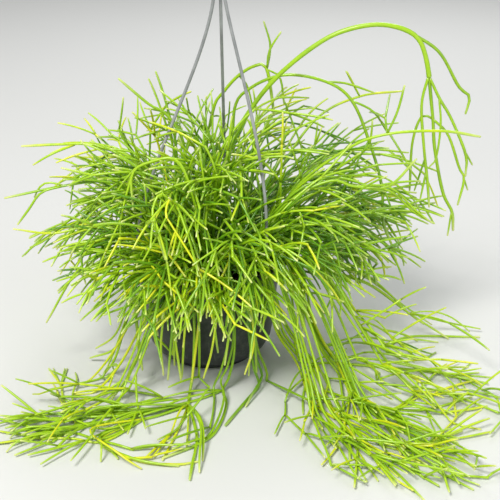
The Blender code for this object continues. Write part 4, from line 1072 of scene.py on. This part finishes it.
def allStems():
    thicket = Thicket()
    for side in strandShape["angles"]:
        thicket.add("hanger", strandPoints(side), strandShape["radius"] + 0.3)
    shades = random.Random(5)
    stems = {owner: routed(thicket, owner, shades) for owner in crowns}
    heroes = {owner: list(found) for owner, found in stems.items()}
    for owner in clumps:
        clump(thicket, owner, stems[owner], shades)
    for number, owner in enumerate(crowns):
        rng = random.Random(300 + number)
        if not owner.startswith("arching"):
            for stem in heroes[owner]:
                falls = owner == "trailing_right" and stem.path[0].z > besideShape["rim"]
                count = besideShape["falling"] if falls else besideShape["companions"].get(owner, 1)
                for _ in range(count):
                    beside(stem, stems[owner], rng, stem.path[-1].z < floorBand)
        if owner != "arching_stem":
            budding(stems[owner], rng)
        if owner in clumps:
            thicken(owner, stems[owner], rng, shades)
            hanging(owner, stems[owner], rng, shades)
        if owner == "stems_centre":
            carpet(stems[owner], rng, shades)
    return stems


# Stem surfaces: a round tube with a narrow root, a swollen joint or a blunt growing tip

tubeShape = {
    "spacing": 5.5, "sides": 6, "thickSides": 10, "thick": 1.8, "neck": 0.16, "neckReach": 2.5, "swell": 0.10,
    "swellReach": 1.6, "taper": 0.22, "taperReach": 9.0, "wobble": 0.035, "wobblePace": 7.0,
    "end": [(0.5, 0.78), (0.8, 0.42)],  # how far past the tip, and how thick there, as shares of the radius
    "inside": 0.36, "evenAt": 0.80, "brighter": 0.08, "uneven": 0.05, "boxGap": 0.05,
    "tipStart": 0.86, "tipPower": 1.5, "tipPale": (0.25, 0.95), "scar": 0.6, "scarReach": 0.9,
}


def stemTube(stem, rng):
    path, gone = resampled([tuple(point) for point in stem.path], tubeShape["spacing"])
    total, radius = gone[-1], stem.radius
    left = total - gone
    girth = 1 - tubeShape["neck"] * np.exp(-(gone / tubeShape["neckReach"]) ** 2)
    girth = girth + tubeShape["wobble"] * np.sin(gone / tubeShape["wobblePace"] + rng.uniform(0, 6))
    if stem.forks:
        girth = girth + tubeShape["swell"] * np.exp(-(left / tubeShape["swellReach"]) ** 2)
    else:
        girth = girth * (1 - tubeShape["taper"] * np.exp(-(left / tubeShape["taperReach"]) ** 2))
    way = (path[-1] - path[-2]) / (np.linalg.norm(path[-1] - path[-2]) + 1e-9)
    path = np.vstack([path] + [path[-1] + way * radius * past for past, thick in tubeShape["end"]])
    girth = np.concatenate([girth, [girth[-1] * thick for past, thick in tubeShape["end"]]])
    gone = np.concatenate([gone, [total, total]])
    sides = tubeShape["thickSides"] if radius > tubeShape["thick"] else tubeShape["sides"]
    points, faces = closedTube(path, girth * radius, sides)
    low, high = (np.array(corner) / mm for corner in cadBox)
    points = np.clip(points, low + tubeShape["boxGap"], high - tubeShape["boxGap"])
    points[:, 2] = np.maximum(points[:, 2], stemShape["floorClear"])

    # The skin's own attribute: tone in red, with painted shade that darkens stems deep in the bush and a
    # little painted light on its outside, pale tip in green, scar at the root in blue
    share = gone / total
    tip = np.zeros(len(gone))
    if not stem.forks:
        late = np.clip((share - tubeShape["tipStart"]) / (1 - tubeShape["tipStart"]), 0, 1)
        tip = late ** tubeShape["tipPower"] * rng.uniform(*tubeShape["tipPale"])
    scar = tubeShape["scar"] * np.exp(-(gone / tubeShape["scarReach"]) ** 2) * rng.uniform(0.0, 1.0)
    # Painted shade: the tone is darker the deeper a point lies inside the bush's lobes, and a little lighter
    # at their outside
    depth = tubeShape["inside"] * (np.clip(outreaches(path), 0, 1) - tubeShape["evenAt"])
    uneven = rng.uniform(-tubeShape["uneven"], tubeShape["uneven"])
    tone = np.clip(stem.tone + depth + tubeShape["brighter"] * share + uneven, 0, 1)
    rings = np.stack([tone, tip, scar, np.ones(len(gone))], axis=1)
    return points, faces, np.vstack([np.repeat(rings, sides, axis=0), rings[:1], rings[-1:]])


def makeStems(owner, stems):
    rng = random.Random(len(stems))
    allPoints, allFaces, allColours, start = [], [], [], 0
    for stem in stems:
        points, faces, colours = stemTube(stem, rng)
        allPoints.append(points)
        allColours.append(colours)
        allFaces += shifted(faces, start)
        start += len(points)
    piece = addPiece("plant_" + owner, np.vstack(allPoints), allFaces, looks["stem"], [owner])
    # Per point: the stem's tone with its painted shade, its pale tip and its scar
    tone = piece.data.color_attributes.new("stemToneAndShade", "FLOAT_COLOR", "POINT")
    tone.data.foreach_set("color", np.vstack(allColours).astype(np.float32).ravel())
    return piece


# Soil: a lumpy top over the shape that fills the pot, with bark chips pressed into it

soilShape = {
    "steps": 120, "gap": 0.4, "wallTop": 84, "edge": 85, "radius": 60, "rings": 40, "lump": 1.3, "waves": 24,
    "sink": 0.6, "chips": 90, "chipRing": 58, "chipSize": [(1, 3.4), (0.6, 1.5), (0.3, 0.6)],
    "chipUneven": (0.7, 1.1), "chipLean": 0.4, "crease": 50,
}
chipCorners = np.array([(x, y, z) for x in (-1, 1) for y in (-1, 1) for z in (-1, 1)], float)
chipSides = [(0, 1, 3, 2), (4, 6, 7, 5), (0, 4, 5, 1), (2, 3, 7, 6), (0, 2, 6, 4), (1, 5, 7, 3)]


def lumps(x, y, rng):
    # A sum of waves that run in random directions
    height = np.zeros_like(x)
    for number in range(soilShape["waves"]):
        turn, pace = rng.uniform(0, math.tau), rng.uniform(0.12, 1.1)
        wave = np.sin((x * math.cos(turn) + y * math.sin(turn)) * pace + rng.uniform(0, 6))
        height += wave / (1 + pace * 3)
    return height / 5


def barkChip(rng):
    # An uneven block, leaned and turned, where the soil's top is
    turn, out = rng.uniform(0, math.tau), soilShape["chipRing"] * math.sqrt(rng.random())
    size = np.array([rng.uniform(low, high) for low, high in soilShape["chipSize"]])
    spin, lean = rng.uniform(0, math.tau), rng.uniform(-soilShape["chipLean"], soilShape["chipLean"])
    uneven = np.array([rng.uniform(*soilShape["chipUneven"]) for _ in range(24)]).reshape(8, 3)
    flat = np.array([(math.cos(spin), -math.sin(spin), 0), (math.sin(spin), math.cos(spin), 0), (0, 0, 1)])
    tilt = np.array([(math.cos(lean), 0, math.sin(lean)), (0, 1, 0), (-math.sin(lean), 0, math.cos(lean))])
    height = np.interp(out, [radius for radius, top in soilTop], [top for radius, top in soilTop])
    place = (out * math.cos(turn), out * math.sin(turn), height)
    return chipCorners * size * uneven @ tilt.T @ flat.T + place


def makeSoil():
    rng = random.Random(8)
    gap = soilShape["gap"]
    wall = [(radius - gap, height + (0.3 if height < 20 else 0)) for radius, height in innerWall()]
    wall = [point for point in wall if point[1] < soilShape["wallTop"]]
    edge = (potShape["body"][0][0] - potShape["wall"] - gap, soilShape["edge"])
    radii = np.linspace(0, soilShape["radius"], soilShape["rings"])[1:]
    heights = np.interp(radii, [radius for radius, top in soilTop], [top for radius, top in soilTop])
    profile = [(0, wall[-1][1])] + wall[::-1] + [edge] + list(zip(radii[::-1], heights[::-1])) + [soilTop[0]]
    points, faces = turnedSurface(profile[::-1], soilShape["steps"])
    top = points[:, 2] > soilShape["edge"] + 0.5
    points[top, 2] += soilShape["lump"] * lumps(points[top, 0], points[top, 1], rng) - soilShape["sink"]
    allPoints, start = [points], len(points)
    for number in range(soilShape["chips"]):
        allPoints.append(barkChip(rng))
        faces += shifted(chipSides, start)
        start += len(chipCorners)
    addPiece("soilFill", np.vstack(allPoints), faces, looks["soil"], ["soil"], soilShape["crease"])


# Floor, light and camera

stageShape = {"floor": (0.70, 0.71, 0.70), "roughness": 0.9, "size": 60.0, "world": 0.40}
lightShape = {
    "key": {"place": (-0.7, -1.3, 1.9), "size": 0.6, "power": 50, "colour": (1, 0.98, 0.94)},
    "fill": {"place": (1.5, -0.9, 1.0), "size": 1.4, "power": 8, "colour": (0.94, 0.97, 1)},
    "back": {"place": (0.4, 1.6, 1.5), "size": 1.0, "power": 14, "colour": (1, 1, 1)},
}
lightAim = Vector((0.02, 0, 0.12))
cameraShape = {
    "target": (0.0385, 0.0, 0.1005), "distance": 0.9, "elevation": 24.0, "lens": 69.6, "sensor": 36,
}


def makeStage():
    mesh = bpy.data.meshes.new("floor")
    half = stageShape["size"] / 2
    corners = [(-half, -half, 0), (half, -half, 0), (half, half, 0), (-half, half, 0)]
    mesh.from_pydata(corners, [], [(0, 1, 2, 3)])
    look = Look("paleFloor")
    look.set("Base Color", stageShape["floor"])
    look.set("Roughness", stageShape["roughness"])
    mesh.materials.append(look.material)
    floor = placed("floor", mesh)


def makeLights():
    for name, values in lightShape.items():
        light = bpy.data.lights.new(name, "AREA")
        light.size, light.energy, light.color = values["size"], values["power"], values["colour"]
        lamp = placed(name, light)
        lamp.location = values["place"]
        lamp.rotation_euler = (lightAim - Vector(values["place"])).to_track_quat("-Z", "Y").to_euler()
    world = bpy.data.worlds.new("studio")
    world.use_nodes = True
    sky = world.node_tree.nodes["Background"].inputs
    sky["Color"].default_value = (1, 1, 1, 1)
    sky["Strength"].default_value = stageShape["world"]
    bpy.context.scene.world = world


def makeCamera():
    data = bpy.data.cameras.new("view")
    data.lens = cameraShape["lens"]
    data.sensor_width = cameraShape["sensor"]
    camera = placed("view", data)
    lift = math.radians(cameraShape["elevation"])
    back = Vector((0, -math.cos(lift), math.sin(lift)))
    camera.location = Vector(cameraShape["target"]) + back * cameraShape["distance"]
    camera.rotation_euler = (-back).to_track_quat("-Z", "Y").to_euler()
    bpy.context.scene.camera = camera


makePot()
makeSoil()
print("pot and soil made")
for side in strandShape["angles"]:
    makeStrand(side)
makeHook()
print("hanger made")
plant = allStems()
print("stems grown:", sum(len(stems) for stems in plant.values()))
for owner, stems in plant.items():
    piece = makeStems(owner, stems)
    print(piece.name, len(stems), "stems,", len(piece.data.polygons), "faces")
makeStage()
makeLights()
makeCamera()
bpy.context.scene.view_settings.view_transform = "Standard"
